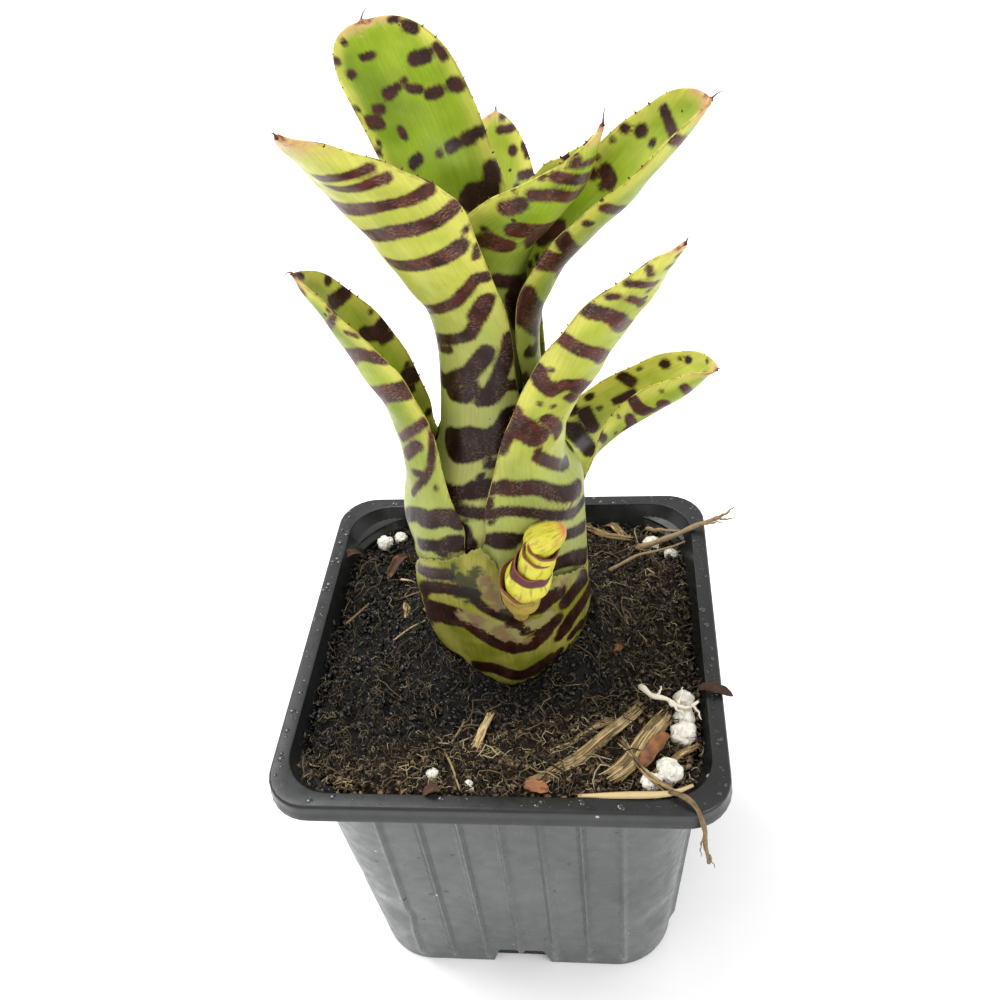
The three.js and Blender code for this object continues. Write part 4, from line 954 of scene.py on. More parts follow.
# Each leaf has its layer in the bulb, the azimuth of its base and the height where it parts from the
# bulb. Over the height called narrowing, the base shrinks from its hug to its throat, in degrees to
# each side. The blade has a length, a lean with the share of its length that it turns over, a
# further curl, a sideways sway and a twist, and the length over which it eases into its own face.
# Its half width is greatest at a share of its length, and blunt and point shape its end. Its channel
# is half the angle of its curved section, which is open from a share of its length on. Yellow is how
# yellow its outer and inner face are, dried how far down its tip has dried, and hair where the
# thread at its tip ends.
# Bands are drawn one by one in part of a face: lowest and highest across, and lowest along, in
# millimetres from the middle of the leaf where it parts from the bulb. Elsewhere they follow the
# plan of such leaves. A drawn band is its half thickness, then points across and along the leaf.
USUAL_LEAF = dict(narrowing=25, hug=95, ease=12, open=0.5, dried=1.0, outer=[], inner=[],
                  drawn_outer=None, drawn_inner=None)
LEAVES = [
    dict(USUAL_LEAF, name="leaf_right_lower", layer=1, azimuth=45, parts=104, narrowing=18, hug=66,
         throat=25, length=47, lean=67, turn=0.2, curl=-29, sway=-80, twist=1.4, ease=8,
         width=12.2, widest=0.54, blunt=2.85, point=0.72, channel=105, open=0.45,
         yellow=(0.45, 0.7), hair=(1.4, 0.0, -0.6), drawn_outer=(-16, -1, -12), drawn_inner=(-4, 12),
         outer=[
             (0.8, -4.7, 41.5, -2.5, 40), (0.3, -8.3, 38), (1.3, -6, 35, -4.5, 33.5, -4.5, 32),
             (1.8, -11, 29.8, -9, 29.5, -7, 30), (1.4, -8.5, 25, -6, 24, -5.5, 22.5), (0.35, -11, 22.6),
             (0.3, -7.5, 19.2), (0.9, -11.5, 15, -9, 15.7), (1.8, -14, -5, -10, -9.5),
         ],
         inner=[
             (0.3, 0, 44, 2.5, 42), (0.4, 5, 43.3), (0.8, 8, 38.3), (0.3, 9.3, 36.5), (0.9, 9.5, 33.2),
             (0.35, 11, 28.5), (1.0, 9, 25.8, 11, 25), (0.4, 8, 25.5), (0.8, 6, 22, 6.3, 25),
             (0.35, 6, 18.5), (0.8, 9.8, 18), (0.9, 9, 14.3, 10, 14), (1.2, 3, 15.5, 7, 15.8),
             (1.5, -3, 11.8, 0, 12.3, 3, 12.3, 5.5, 12.3), (0.5, 7.2, 12), (0.35, 1.3, 7),
         ]),
    dict(USUAL_LEAF, name="leaf_left_lower", layer=2, azimuth=192, parts=117, hug=88, throat=63,
         length=54.3, lean=22, turn=0.61, curl=-1, sway=9, twist=3.5,
         width=11.9, widest=0.25, blunt=4.7, point=0.78, channel=80,
         yellow=(0.45, 0.5), hair=(-3.0, 0.0, -1.7), drawn_outer=(-1, 21, -18), drawn_inner=(-12, 0),
         outer=[
             (0.25, 0.5, 53, 2.5, 51.5), (0.5, 1.8, 44, 4, 45, 6, 46.3, 7, 47.2), (0.25, 6.5, 48.5),
             (0.3, 8, 44, 9.3, 43), (1.3, 2, 36.5, 5, 38.5, 8, 38.9, 11, 37.3),
             (1.8, 2, 27, 5, 29, 8, 29.6, 11.7, 29.5), (0.7, 3.5, 17.5, 6, 19.5, 8, 20.8, 11.5, 22.5),
             (1, 4, 14, 7, 17, 8, 17.5), (0.5, 5, 5.5, 7, 8.5, 9, 11, 10, 13.5, 11.3, 18, 11.8, 20),
             (0.5, 6, 11, 8, 11.5), (0.3, 11.2, 9.5), (1.3, 3, -1.5, 6, 1.2, 8.5, 2),
             (1.9, 8.5, 2, 11, 2.6, 13, 3.8, 15, 4.4, 17, 4), (1, 9, -4.2, 12, -2.9, 14, -2.4, 16, -1.5),
             (0.6, 14, -3.6, 15.5, -3.7), (1.6, 16, -1.4, 18, -0.8), (0.9, 0, -9, 3, -8, 5, -6.5),
             (0.6, 2, -13.5, 5, -12, 8, -11.5),
         ],
         inner=[
             (0.5, -2, 52.5, 0, 53.8), (0.8, -7, 47.4), (1.2, -9.3, 43, -7, 43.3, -5, 44),
             (0.25, -10.5, 36.9), (1.2, -11.3, 33.5, -9, 33, -7, 34.8), (0.7, -11, 31, -9, 31.3),
             (1.4, -11.2, 22, -9.5, 22.5), (0.5, -10.8, 24.3), (0.8, -9.3, 20), (0.6, -11, 13.7),
         ]),
    dict(USUAL_LEAF, name="leaf_right_front", layer=3, azimuth=330, parts=119.5, hug=88, throat=60,
         length=66.5, lean=28, turn=0.37, curl=5, sway=-7, twist=15,
         width=11.3, widest=0.24, blunt=2.85, point=0.84, channel=68,
         yellow=(0.6, 0.5), hair=(0.5, 0.0, 0.8), drawn_outer=(-19, 10, -32),
         outer=[
             (0.3, 0.3, 63.9, 0.4, 64.3), (0.3, 0.1, 61.3, 0.6, 61.8), (0.35, -3, 61, -2.3, 60),
             (0.55, -4.8, 57.4, -3, 57.8, 0, 57.6), (0.3, -0.5, 56), (0.5, -6, 53.6, -5, 54.2),
             (0.5, -3, 54.4, -1, 53.6, 0, 52.8), (1.3, -7.3, 49.5, -5, 50, -3, 49.6, -1, 47.5, 1, 46),
             (1.2, -9, 42.5, -6, 41.5, -3, 40.8, -1, 39.5, 0.5, 38),
             (1.4, -10.5, 34, -9, 32, -6.5, 30.5, -5, 32.5, -3, 32.3, -1, 30.8, 1, 29.5),
             (0.7, -3, 29, 0, 26.5), (0.35, -7.5, 27), (0.35, -5, 26.6), (0.35, -8.5, 35.3),
             (0.8, -11, 24, -10.6, 18, -11, 15), (2.2, -9, 20.5, -7, 19.5, -5.5, 18.5),
             (1.3, -10.8, 22.5, -8, 21.5), (1.0, -5.5, 23.5, -3, 21.5, -1, 18.5, 0, 16.5),
             (1.0, -4.5, 13.5, -3, 12, 0, 9, 3, 6.5, 5.5, 5.5), (0.6, -4.7, 15, -4, 12.5),
             (0.8, -13.5, 8.4, -11.5, 8.6),
             (1.3, -11, 8.5, -9, 7.9, -6, 7.2, -4, 5.8, -2, 3.8, 0, 2.3, 2, 1.1, 5, 0),
             (0.8, -16, 3.4, -13.5, 3.9, -12, 4, -10, 3.5, -8, 2.5, -6, 1.5, -4, 0.2, -2, -0.9, 0, -2.1),
             (0.9, -1, -1.5, 1.5, -3, 5, -4, 9, -5.5), (0.7, -15, 4.8, -14.4, 6.3),
             (0.3, -15.3, 1.8, -14.7, 2.3), (0.35, -7.3, -0.6, -6.8, -0.4), (1, -16.5, -1.6, -15, -1.8),
             (1.5, -14.6, -1.9, -12.4, -2.4), (0.7, -12, -1.7, -10.2, -2.2),
             (0.7, -17, -7.8, -16.3, -7.6), (1, -3.5, -6.2, -2, -5.9, 0, -7, 2, -8.3, 4, -9.4, 7, -11.5),
             (0.7, -7.9, -11.7),
             (1.6, -6, -12, -4, -12.6, -2, -13, 0, -13.7, 2, -15.3, 4, -17.2, 7, -20),
             (1.8, -12, -24, -10, -28),
         ]),
    dict(USUAL_LEAF, name="leaf_back", layer=4, azimuth=88, parts=139, throat=60,
         length=47.5, lean=42, turn=0.62, curl=1.5, sway=0, twist=0,
         width=10, widest=0.4, blunt=2.2, point=0.65, channel=46,
         yellow=(0.5, 0.5), hair=(0.3, 0.6, 0.8), drawn_inner=(-11, 4),
         inner=[
             (0.5, -1.5, 46.2), (0.6, -3.5, 43.8, -1, 43.8), (0.4, -6, 40.5, -6.8, 38.5),
             (0.8, -3.7, 39.8), (0.7, -7.5, 35, -5.5, 35), (0.4, -4.5, 33.2),
         ]),
    dict(USUAL_LEAF, name="leaf_left_front", layer=5, azimuth=236, parts=150, throat=62,
         length=63, lean=29, turn=0.24, curl=16.5, sway=16.5, twist=3,
         width=13.6, widest=0.6, blunt=1.26, point=0.81, channel=57,
         yellow=(0.75, 0.55), dried=2.0, hair=(-0.8, 0.0, 0.3), drawn_outer=(-14, 14, -45),
         outer=[
             (0.8, -1, 51, 2, 52, 6.5, 51.6), (0.9, -1, 47.7, 3, 48.2, 6, 48.8, 7.5, 48.6),
             (1.2, -10, 38.5, -5, 40, 0, 41.8, 3, 42.8, 6, 43, 8, 42.5, 11, 42.5),
             (1.3, -13, 31, -4, 33, 0, 35, 3, 36.2, 7, 36.3, 10, 36.3, 13, 37),
             (1.4, -3, 25.5, 1, 26.8, 5, 28, 8, 28.6, 10.5, 29.2), (0.5, 12.5, 31.5),
             (0.5, 12, 25.5, 13, 27.5),
             (1.0, -5, 11, -2, 13.5, 2, 15.5, 5, 17, 8, 19.5, 10, 21, 11.5, 20),
             (0.9, -7, 3.3, -3, 5.2, 1, 7, 4, 8.3, 6.5, 11.5), (1.5, 7, 12.5, 9.3, 15),
             (0.5, -7, 1.8, -3, 3, -1, 4), (1.4, -7, -4.5, -3, -4, 0, -1.5, 2.5, 0, 4, 2, 6, 4.5),
             (1.3, -2, -5.5, 1, -5, 3, -3), (1.3, 5, -5, 7, -2, 9, 2.5, 10.5, 6),
             (0.9, 4, -5.5, 6.5, -5, 8.5, -2.5, 11, -3), (3.4, -1, -16.3, 1, -15.6, 3, -14.6),
             (2.7, 3, -14.4, 5.5, -14.4, 8, -13), (1.8, 8.5, -11, 9.5, -9), (0.8, 6, -18.8, 6.7, -18.8),
             (0.5, 5, -21.2), (1.2, -2, -25.6, 0, -25.5, 2, -25, 4, -24.1),
             (1.6, 4, -24, 5.5, -23.5, 8, -23.2), (0.7, 1.5, -27.8, 4, -28), (0.9, 4, -28, 8, -27.9),
             (1.7, 3.5, -32, 5, -34.5, 5.5, -38),
         ]),
    dict(USUAL_LEAF, name="leaf_right_upper", layer=6, azimuth=3, parts=145.5, throat=50,
         length=56, lean=45.5, turn=0.52, curl=-8, sway=-15.5, twist=-16.5,
         width=11.4, widest=0.43, blunt=3.3, point=0.48, channel=80,
         yellow=(0.45, 0.4), hair=(2.4, 0.0, 1.3), drawn_outer=(-13, 1, -8), drawn_inner=(0, 11),
         outer=[
             (0.7, -7.5, 51, -4.5, 50.5), (0.8, -9.5, 36.5, -8, 36.5, -5, 36.5),
             (0.5, -9.8, 32.4, -9, 32.4), (1.2, -11, 28, -8, 26.5, -5, 25.5),
             (1.6, -10.8, 23.2, -8, 23.5, -5, 23, -4, 21.5), (2.3, -10, 16, -8, 14, -5, 12, -2, 9.5),
             (0.8, -6, 6, -4, 5, -2, 7), (0.7, -7.2, 1.5, -7, 0),
         ],
         inner=[
             (0.7, 1.3, 48.3, 4, 48.3, 6.5, 48.8), (0.6, 3.9, 44.3), (1.0, 7.3, 43.8), (0.7, 9.5, 42),
             (0.4, 9.8, 39.3), (0.4, 9.8, 35.5), (1.2, 5, 34.8, 7, 35), (0.8, 8.5, 33), (0.5, 5.8, 33),
             (1.3, 6.3, 23, 7.5, 20), (0.4, 6.5, 17), (0.4, 7.5, 15.2),
         ]),
    dict(USUAL_LEAF, name="leaf_left_back", layer=7, azimuth=137, parts=158, throat=90,
         length=48, lean=29, turn=0.59, curl=20, sway=-10, twist=4,
         width=11, widest=0.49, blunt=4.1, point=0.5, channel=46,
         yellow=(0.5, 0.25), hair=(1.9, 0.0, 2.6), drawn_inner=(-12, 12),
         inner=[
             (0.4, -5.6, 45.8, -4.4, 46), (0.9, -6.5, 44, -7.2, 43.3), (0.6, -9.2, 38.8, -9.6, 36.8),
             (1.0, -7, 38.4, -5, 38.8), (0.6, -3.5, 34, -2, 34.8), (0.5, -1.8, 36.2), (0.5, -0.2, 35.7),
             (0.8, 1.2, 35.2, 2.3, 35), (1.0, -9.5, 32, -9, 32.4), (0.8, -6.3, 32.4, -4.7, 32.6),
             (0.5, -10.3, 31.5), (0.5, 1.5, 41.8, 3.5, 41.7), (0.5, 5.5, 44.8), (0.6, 9, 41.5, 9.8, 42),
             (0.5, 7, 39.2, 8, 38.9), (0.6, 4.5, 33, 6, 33), (1.0, 6.5, 31, 9, 31), (0.4, 10.3, 33.3),
             (0.6, 2.9, 28, 2.9, 29), (0.4, 9.3, 27.8), (0.5, 10.5, 26.5),
             (0.7, -10.5, 24.2, -9.5, 24.3), (0.9, -8.3, 24, -7.5, 24), (0.8, -5.5, 24, -4.2, 23.8),
             (0.5, -2, 23.6), (0.7, 2, 24, 3.8, 23.4), (1.3, -10, 18.5, -9, 16),
             (1.6, -8, 15.5, -5.5, 15.8, -4.5, 15),
         ]),
    dict(USUAL_LEAF, name="leaf_centre", layer=8, azimuth=317, parts=158, throat=106,
         length=40, lean=54, turn=0.57, curl=-38, sway=30, twist=8.5,
         width=13, widest=0.5, blunt=1.76, point=1, channel=95,
         yellow=(0.3, 0.4), hair=(0.6, 0.4, 3.3), drawn_outer=(-13, 6, -10),
         outer=[
             (0.35, -4.2, 36, -3.5, 35.5), (0.35, -4.5, 34.5, -2, 34.8, 1, 35),
             (0.8, -6, 32.3, -3, 32.2, 0, 32, 1.3, 32.5), (0.5, -8, 31.5),
             (0.9, -8, 28, -5, 29.3, -2, 29, 1, 29.5), (0.3, -11, 26.8), (1.0, -9, 25.5, -10.5, 22.5),
             (1.7, -6.5, 20.5, -4.5, 21, -2, 21, 0, 21), (1.6, -2, 19, 0, 17), (1.4, -8, 16, -5.5, 16.3),
             (0.4, -9.8, 17), (0.9, -9, 14.8), (1.1, -4, 8.5, -1, 7.5, 2, 6, 4.5, 5),
             (1.4, -0.5, 4.5, 0, 1.5, 0.5, -1),
         ]),
]
NO_BAND = -4.0
HAIR_RADIUS = 0.17

LEAF_GREEN, LEAF_DEEP_GREEN, LEAF_YELLOW = (134, 160, 18), (106, 132, 14), (204, 202, 92)
LEAF_SAGE = (160, 160, 98)
BAND_DARK, BAND_MAROON, BAND_SCURF = (24, 10, 7), (96, 46, 36), (136, 108, 90)
TIP_PINK, TIP_BROWN, SPINE_BROWN = (198, 150, 116), (122, 70, 40), (84, 42, 32)


def from_back(azimuth):
    """The same direction between 90 and 450 degrees, so that it runs on without a step in front."""
    return np.mod(azimuth - 90.0, 360.0) + 90.0


def covered(azimuth, height, layer):
    """1 where a wrap lies over the bulb, 0 where its margin or its top edge is past."""
    if layer == 0:
        edge = np.interp(from_back(azimuth), *TORN_EDGE.T)
        return 1.0 - smooth_step(height - edge, -1.0, 1.5)
    leaf = LEAVES[layer - 1]
    narrowed = smooth_step(height, leaf["parts"] - leaf["narrowing"], leaf["parts"])
    half = blend(leaf["hug"], leaf["throat"], narrowed)
    beyond = np.abs(np.mod(azimuth - leaf["azimuth"] + 180.0, 360.0) - 180.0) - half
    gone = smooth_step(beyond, WRAP_EDGE_IN, WRAP_EDGE_OUT)
    return (1.0 - gone) * (1.0 - smooth_step(height, leaf["parts"], leaf["parts"] + WRAP_TOP_FADE))


def settled(leaf, places, along):
    """Places of a leaf base, moved to lie close against the wraps outside and inside it.

    Where a wrap is missing, the base takes up part of its room outwards and the rest inwards.
    """
    height = places[..., 2]
    from_axis = places - bulb_axis(height)
    azimuth = np.degrees(np.arctan2(from_axis[..., 1], from_axis[..., 0]))
    outside, inside = (
        sum(1.0 - covered(azimuth, height, layer) for layer in layers)
        for layers in (range(leaf["layer"]), range(leaf["layer"] + 1, INNERMOST + 1))
    )
    turned = from_back(azimuth)
    forward = np.exp(-((turned - SETTLED_FRONT) / SETTLED_FRONT_REACH) ** 4)
    rightward = smooth_step(turned, *SETTLED_RIGHT)
    aside = blend(0.45 + 0.3 * smooth_step(height, 106.0, 116.0), 0.8, rightward)
    outwards = blend(aside, 1.0 - 0.55 * smooth_step(height, 106.0, 120.0), forward)
    pocket = np.exp(-((turned - POCKET[0]) / POCKET_REACH[0]) ** 2
                    - ((height - POCKET[1]) / POCKET_REACH[1]) ** 2)
    full = ((1.0 - smooth_step(height, *SETTLES_BELOW)) * (1.0 - smooth_step(along, *SETTLES_ALONG))
            * (1.0 - pocket))
    moved = WRAP * full * (outwards * outside - (1.0 - outwards) * inside)
    return places + around(np.radians(azimuth)) * moved[..., None]


def sheath_rows(leaf, top):
    """Rows up the wrapped base: its mid line, the directions across it, and its bend."""
    foot = LOWEST_FOOT + FOOT_STEP * leaf["layer"]
    heights = np.linspace(foot, top, int((top - foot) / SHEATH_STEP) + 1)
    narrowed = smooth_step(heights, leaf["parts"] - leaf["narrowing"], leaf["parts"])
    out = around(math.radians(leaf["azimuth"]))
    side = around(math.radians(leaf["azimuth"] + 90))
    radius = bulb_radius(heights, leaf["layer"])
    count = len(heights)
    return dict(
        middle=bulb_axis(heights) + out * radius[:, None],
        inward=np.repeat(-out[None], count, axis=0),
        sideways=np.repeat(side[None], count, axis=0),
        bend=np.radians(blend(leaf["hug"], leaf["throat"], narrowed)),
        radius=radius,
        along=heights - leaf["parts"],
    )


def blade_half_width(leaf, throat_width, share):
    swelling = blend(throat_width, leaf["width"], smooth_step(share, 0.0, leaf["widest"]))
    past = np.clip(share - leaf["widest"], 0.0, None) / (1.0 - leaf["widest"])
    return swelling * (1.0 - np.clip(past, 0.0, 1.0) ** leaf["blunt"]) ** leaf["point"]


def blade_rows(leaf, throat):
    """Rows along the free blade, from where it parts from the bulb to just short of its tip."""
    length = leaf["length"]
    steps = round(length / BLADE_STEP)
    shares = np.concatenate([np.arange(1, steps) / steps, [1.0 - 0.3 / steps, 1.0 - 0.08 / steps]])
    before = np.concatenate([[0.0], shares[:-1]])
    parts = leaf["parts"]
    rise = bulb_radius(parts + SLOPE_SPAN, 0) - bulb_radius(parts - SLOPE_SPAN, 0)
    first_lean = math.atan(float(rise) / (2 * SLOPE_SPAN))
    middle_share = (shares + before) / 2

    def directions(share):
        lean = blend(first_lean, math.radians(leaf["lean"]), smooth_step(share / leaf["turn"]))
        lean = lean + math.radians(leaf["curl"]) * smooth_step(share, 0.35, 1.0)
        heading = np.radians(leaf["azimuth"] + leaf["sway"] * smooth_step(share))
        return lean, heading

    lean, heading = directions(middle_share)
    along = around(heading) * np.sin(lean)[:, None] + UP * np.cos(lean)[:, None]
    middle = throat["middle"] + np.cumsum(along * ((shares - before) * length)[:, None], axis=0)
    lean, heading = directions(shares)
    out = around(heading)
    across = around(heading + math.pi / 2)
    tilt = smooth_step(shares * length, 0.0, leaf["ease"])[:, None]
    face = UP * np.sin(lean)[:, None] - out * np.cos(lean)[:, None]
    inward = out * (tilt - 1.0) + face * tilt
    inward /= np.linalg.norm(inward, axis=1)[:, None]
    twist = (math.radians(leaf["twist"]) * smooth_step(shares))[:, None]
    half_width = blade_half_width(leaf, throat["bend"] * throat["radius"], shares)
    opened = smooth_step(shares, 0.0, leaf["open"])
    wanted = blend(throat["bend"], math.radians(leaf["channel"]), opened)
    wanted = wanted * blend(1.0, FLAT_TIP, smooth_step(shares, 0.5, 1.0))
    bend = np.minimum(wanted, half_width / SMALLEST_BEND)
    return dict(
        middle=middle,
        inward=inward * np.cos(twist) + across * np.sin(twist),
        sideways=across * np.cos(twist) - inward * np.sin(twist),
        bend=bend,
        radius=half_width / bend,
        along=shares * length,
    )


def row_points(rows, u, depth):
    """Points of the rows: u runs from -1 to 1 across, and depth is measured in from outside."""
    angle = u * rows["bend"][:, None]
    radius = rows["radius"][:, None]
    inward = radius - (radius - depth) * np.cos(angle)
    sideways = (radius - depth) * np.sin(angle)
    return (rows["middle"][:, None] + rows["inward"][:, None] * inward[..., None]
            + rows["sideways"][:, None] * sideways[..., None])


def leaf_rows(leaf):
    sheath = sheath_rows(leaf, leaf["parts"])
    throat = {key: values[-1] for key, values in sheath.items()}
    blade = blade_rows(leaf, throat)
    return {key: np.concatenate([sheath[key], blade[key]]) for key in sheath}


def leaf_tip(leaf, rows):
    end = {key: values[-2:] for key, values in rows.items()}
    last = row_points(end, np.zeros((2, 1)), np.full((2, 1), LEAF_THICKNESS / 2))[:, 0]
    forward = (last[1] - last[0]) / np.linalg.norm(last[1] - last[0])
    reach = leaf["length"] + TIP_SPINE - rows["along"][-1]
    return last[1] + forward * reach


def leaf_shell(leaf, rows, tip):
    """A closed skin round the rows, thinner towards the margins, with where each point lies."""
    u = np.linspace(-1.0, 1.0, LEAF_COLUMNS)
    depth = LEAF_THICKNESS * (1.0 - 0.45 * np.abs(u) ** 6)
    count = len(rows["along"])
    outer = row_points(rows, u[None], np.zeros((count, LEAF_COLUMNS)))
    inner = row_points(rows, u[None], np.repeat(depth[None], count, axis=0))
    edge_depth = np.full((count, 1), depth[0] / 2)
    half_width = (rows["bend"] * rows["radius"])[:, None]
    edges = [row_points(rows, side * (1.0 + 0.15 / half_width), edge_depth) for side in (1.0, -1.0)]
    loops = np.concatenate([outer, edges[0], inner[:, ::-1], edges[1]], axis=1)
    across = np.concatenate([u, [1.0], u[::-1], [-1.0]])[None] * half_width
    inside = np.concatenate([np.zeros(LEAF_COLUMNS), [0.5], np.ones(LEAF_COLUMNS), [0.5]])
    along = np.repeat(rows["along"][:, None], loops.shape[1], axis=1)

    ripple = np.sin(along / 3.1 + across / 4.0) + 0.7 * np.sin(along / 1.7 - across / 2.3)
    free = smooth_step(along, 3.0, 14.0) * smooth_step(half_width, 1.0, 5.0)
    loops = loops + rows["inward"][:, None] * (RIPPLE * ripple * free)[..., None]
    loops = settled(leaf, loops, along)

    points, faces = lofted(list(loops), close_end=False)
    last, size = len(points) - loops.shape[1], loops.shape[1]
    faces.extend([[last + j, last + (j + 1) % size, len(points)] for j in range(size)])
    fields = dict(
        along=np.append(along.ravel(), rows["along"][-1] + 1.0),
        across=np.append(across.ravel(), 0.0),
        margin=np.append((half_width - np.abs(across)).ravel(), 0.0),
        inside=np.append(np.tile(inside, count), 0.5),
    )
    return np.concatenate([points, tip[None]]), faces, fields


def band_depth(bands, across, along):
    """How deep each place lies inside the nearest band. It is below zero between bands."""
    deepest = np.full(across.shape, NO_BAND)
    for half, *line in bands:
        knots = np.array(line, float).reshape(-1, 2)
        if len(knots) == 1:
            knots = np.repeat(knots, 2, axis=0)
        for start, end in zip(knots[:-1], knots[1:]):
            step = end - start
            gone = ((across - start[0]) * step[0] + (along - start[1]) * step[1]) / max(step @ step, 1e-9)
            gone = np.clip(gone, 0.0, 1.0)
            away = np.hypot(across - start[0] - gone * step[0], along - start[1] - gone * step[1])
            deepest = np.maximum(deepest, half - away)
    return deepest


def band_plan(across, along, number, gap, half, broken):
    """Bands at an even gap that waver, change in thickness and break up, as on such a leaf."""
    wave = 1.1 * np.sin(across / 5.5 + number) + 0.5 * np.sin(across / 2.1 + 2.3 * number)
    phase = (along + wave + number) / gap
    band = np.round(phase)
    thickness = half * (0.8 + 0.45 * np.sin(2.4 * band + 1.7 * number))
    thinned = broken * np.maximum(0.0, np.sin(across / 2.7 + 1.9 * band + number)) ** 2
    return np.maximum(thickness - thinned - np.abs(phase - band) * gap, NO_BAND)


def within(across, along, low, high, lowest=-1e3):
    """1 well inside the stretch where the bands are drawn, 0 well outside it."""
    return (smooth_step(across, low - 1.0, low + 0.5) * (1.0 - smooth_step(across, high - 0.5, high + 1.0))
            * smooth_step(along, lowest - 1.0, lowest + 1.0))


def leaf_bands(leaf, fields):
    """The depth inside the bands of both faces of a leaf."""
    across, along, inside = fields["across"], fields["along"], fields["inside"]
    number = leaf["layer"]
    outer = band_depth(leaf["outer"], across, along)
    inner = band_depth(leaf["inner"], across, along)
    outer_plan = band_plan(across, along, number, 6.6, 1.5, 1.0)
    inner_plan = band_plan(across, along, number + 0.5, 7.2, 1.1, 2.2)
    if leaf["drawn_outer"]:
        outer_plan += 2 * NO_BAND * within(across, along, *leaf["drawn_outer"])
    if leaf["drawn_inner"]:
        inner_plan += 2 * NO_BAND * within(across, along, *leaf["drawn_inner"])
    return np.where(inside < 0.5, np.maximum(outer, outer_plan), np.maximum(inner, inner_plan))


def leaf_spines(leaf, rows):
    """Small forward curved spines along both margins, and the drawn out hair at the tip."""
    generator = np.random.default_rng(40 + leaf["layer"])
    wanted = np.arange(5.0, leaf["length"] - 2.5, SPINE_PITCH)
    paths, widths = [], []
    for side in (-1.0, 1.0):
        for place in wanted + generator.uniform(-0.5, 0.5, len(wanted)):
            near = int(np.argmin(np.abs(rows["along"] - place)))
            few = {key: values[near - 1:near + 2] for key, values in rows.items()}
            depth = np.full((3, 1), LEAF_THICKNESS / 3)
            base, past = (settled(leaf, row_points(few, np.full((3, 1), u), depth)[:, 0], few["along"])
                          for u in (side, 1.03 * side))
            out = (past[1] - base[1]) / np.linalg.norm(past[1] - base[1])
            ahead = (base[2] - base[0]) / np.linalg.norm(base[2] - base[0])
            length = SPINE_LENGTH * generator.uniform(0.6, 1.15)
            paths.append([base[1] - 0.15 * out, base[1] + 0.3 * length * out + 0.06 * length * ahead,
                          base[1] + 0.65 * length * out + 0.3 * length * ahead,
                          base[1] + 0.85 * length * out + 0.7 * length * ahead])
            widths.append([SPINE_RADIUS * 1.5, SPINE_RADIUS, SPINE_RADIUS * 0.55, 0.03])
    tip = leaf_tip(leaf, rows)
    end = tip + 0.65 * np.array(leaf["hair"])
    back = tip - (tip - rows["middle"][-1]) * 0.9
    knee = tip + (tip - back) * 0.3
    paths.append([back, blend(back, tip, 0.8), blend(knee, end, 0.35), end])
    widths.append([HAIR_RADIUS * 1.6, HAIR_RADIUS, HAIR_RADIUS * 0.55, 0.03])
    return strands(np.array(paths), np.array(widths))


def banding_group():
    """The edge of the leaf's bands: feathered into fine streaks, and silvery with scurf inside."""
    tree, given, result = new_group(
        "banding",
        [("Band", "value", None), ("Across", "value", None), ("Along", "value", None),
         ("Feather", "value", 1.0), ("Scurf", "value", 0.5)],
        [("Mask", "value"), ("Scurf", "value")],
    )
    place = add_node(tree, "ShaderNodeCombineXYZ", {
        "X": times(tree, given["Across"], 1.5),
        "Y": times(tree, given["Along"], 0.6),
    }).outputs[0]
    streaks = worked_out(tree, "SUBTRACT", noise_of(tree, place, 1.0, 5.0, 0.68), 0.5)
    softened = times(tree, streaks, given["Feather"])
    edge = worked_out(tree, "MULTIPLY_ADD", softened, 2.4, given["Band"])
    mask = ramped(tree, edge, -0.75, 0.12)
    cross = add_node(tree, "ShaderNodeCombineXYZ", {
        "X": times(tree, given["Across"], 1.6),
        "Y": times(tree, given["Along"], 2.6),
        "Z": 7.0,
    }).outputs[0]
    lines = ramped(tree, noise_of(tree, cross, 1.0, 5.0, 0.7), 0.44, 0.68)
    fleck = ramped(tree, noise_of(tree, place, 0.25, 2.0), 0.38, 0.66)
    tree.links.new(mask, result.inputs["Mask"])
    tree.links.new(times(tree, lines, fleck, given["Scurf"]), result.inputs["Scurf"])
    return tree


def veined_group():
    """Green leaf tissue: parallel veins, a slow change of tone and a few pale flecks."""
    tree, given, result = new_group(
        "veined",
        [("Place", "place", None), ("Across", "value", None), ("Along", "value", None),
         ("Colour", "colour", None), ("Depth", "value", 0.25)],
        [("Colour", "colour"), ("Vein", "value")],
    )
    place = add_node(tree, "ShaderNodeCombineXYZ", {
        "X": times(tree, given["Across"], 3.0),
        "Y": times(tree, given["Along"], 0.12),
    }).outputs[0]
    vein = noise_of(tree, place, 1.0, 3.0, 0.65)
    tone = noise_of(tree, given["Place"], 0.16, 3.0)
    dimmed = ramped(tree, mixed_value(tree, 0.45, vein, tone), 0.35, 0.65)
    share = times(tree, worked_out(tree, "SUBTRACT", 1.0, dimmed), given["Depth"])
    darker = mixed(tree, 0.75, given["Colour"], tint(90, 104, 30), "MULTIPLY")
    tree.links.new(mixed(tree, share, given["Colour"], darker), result.inputs["Colour"])
    tree.links.new(vein, result.inputs["Vein"])
    return tree


banding = banding_group()
veined = veined_group()


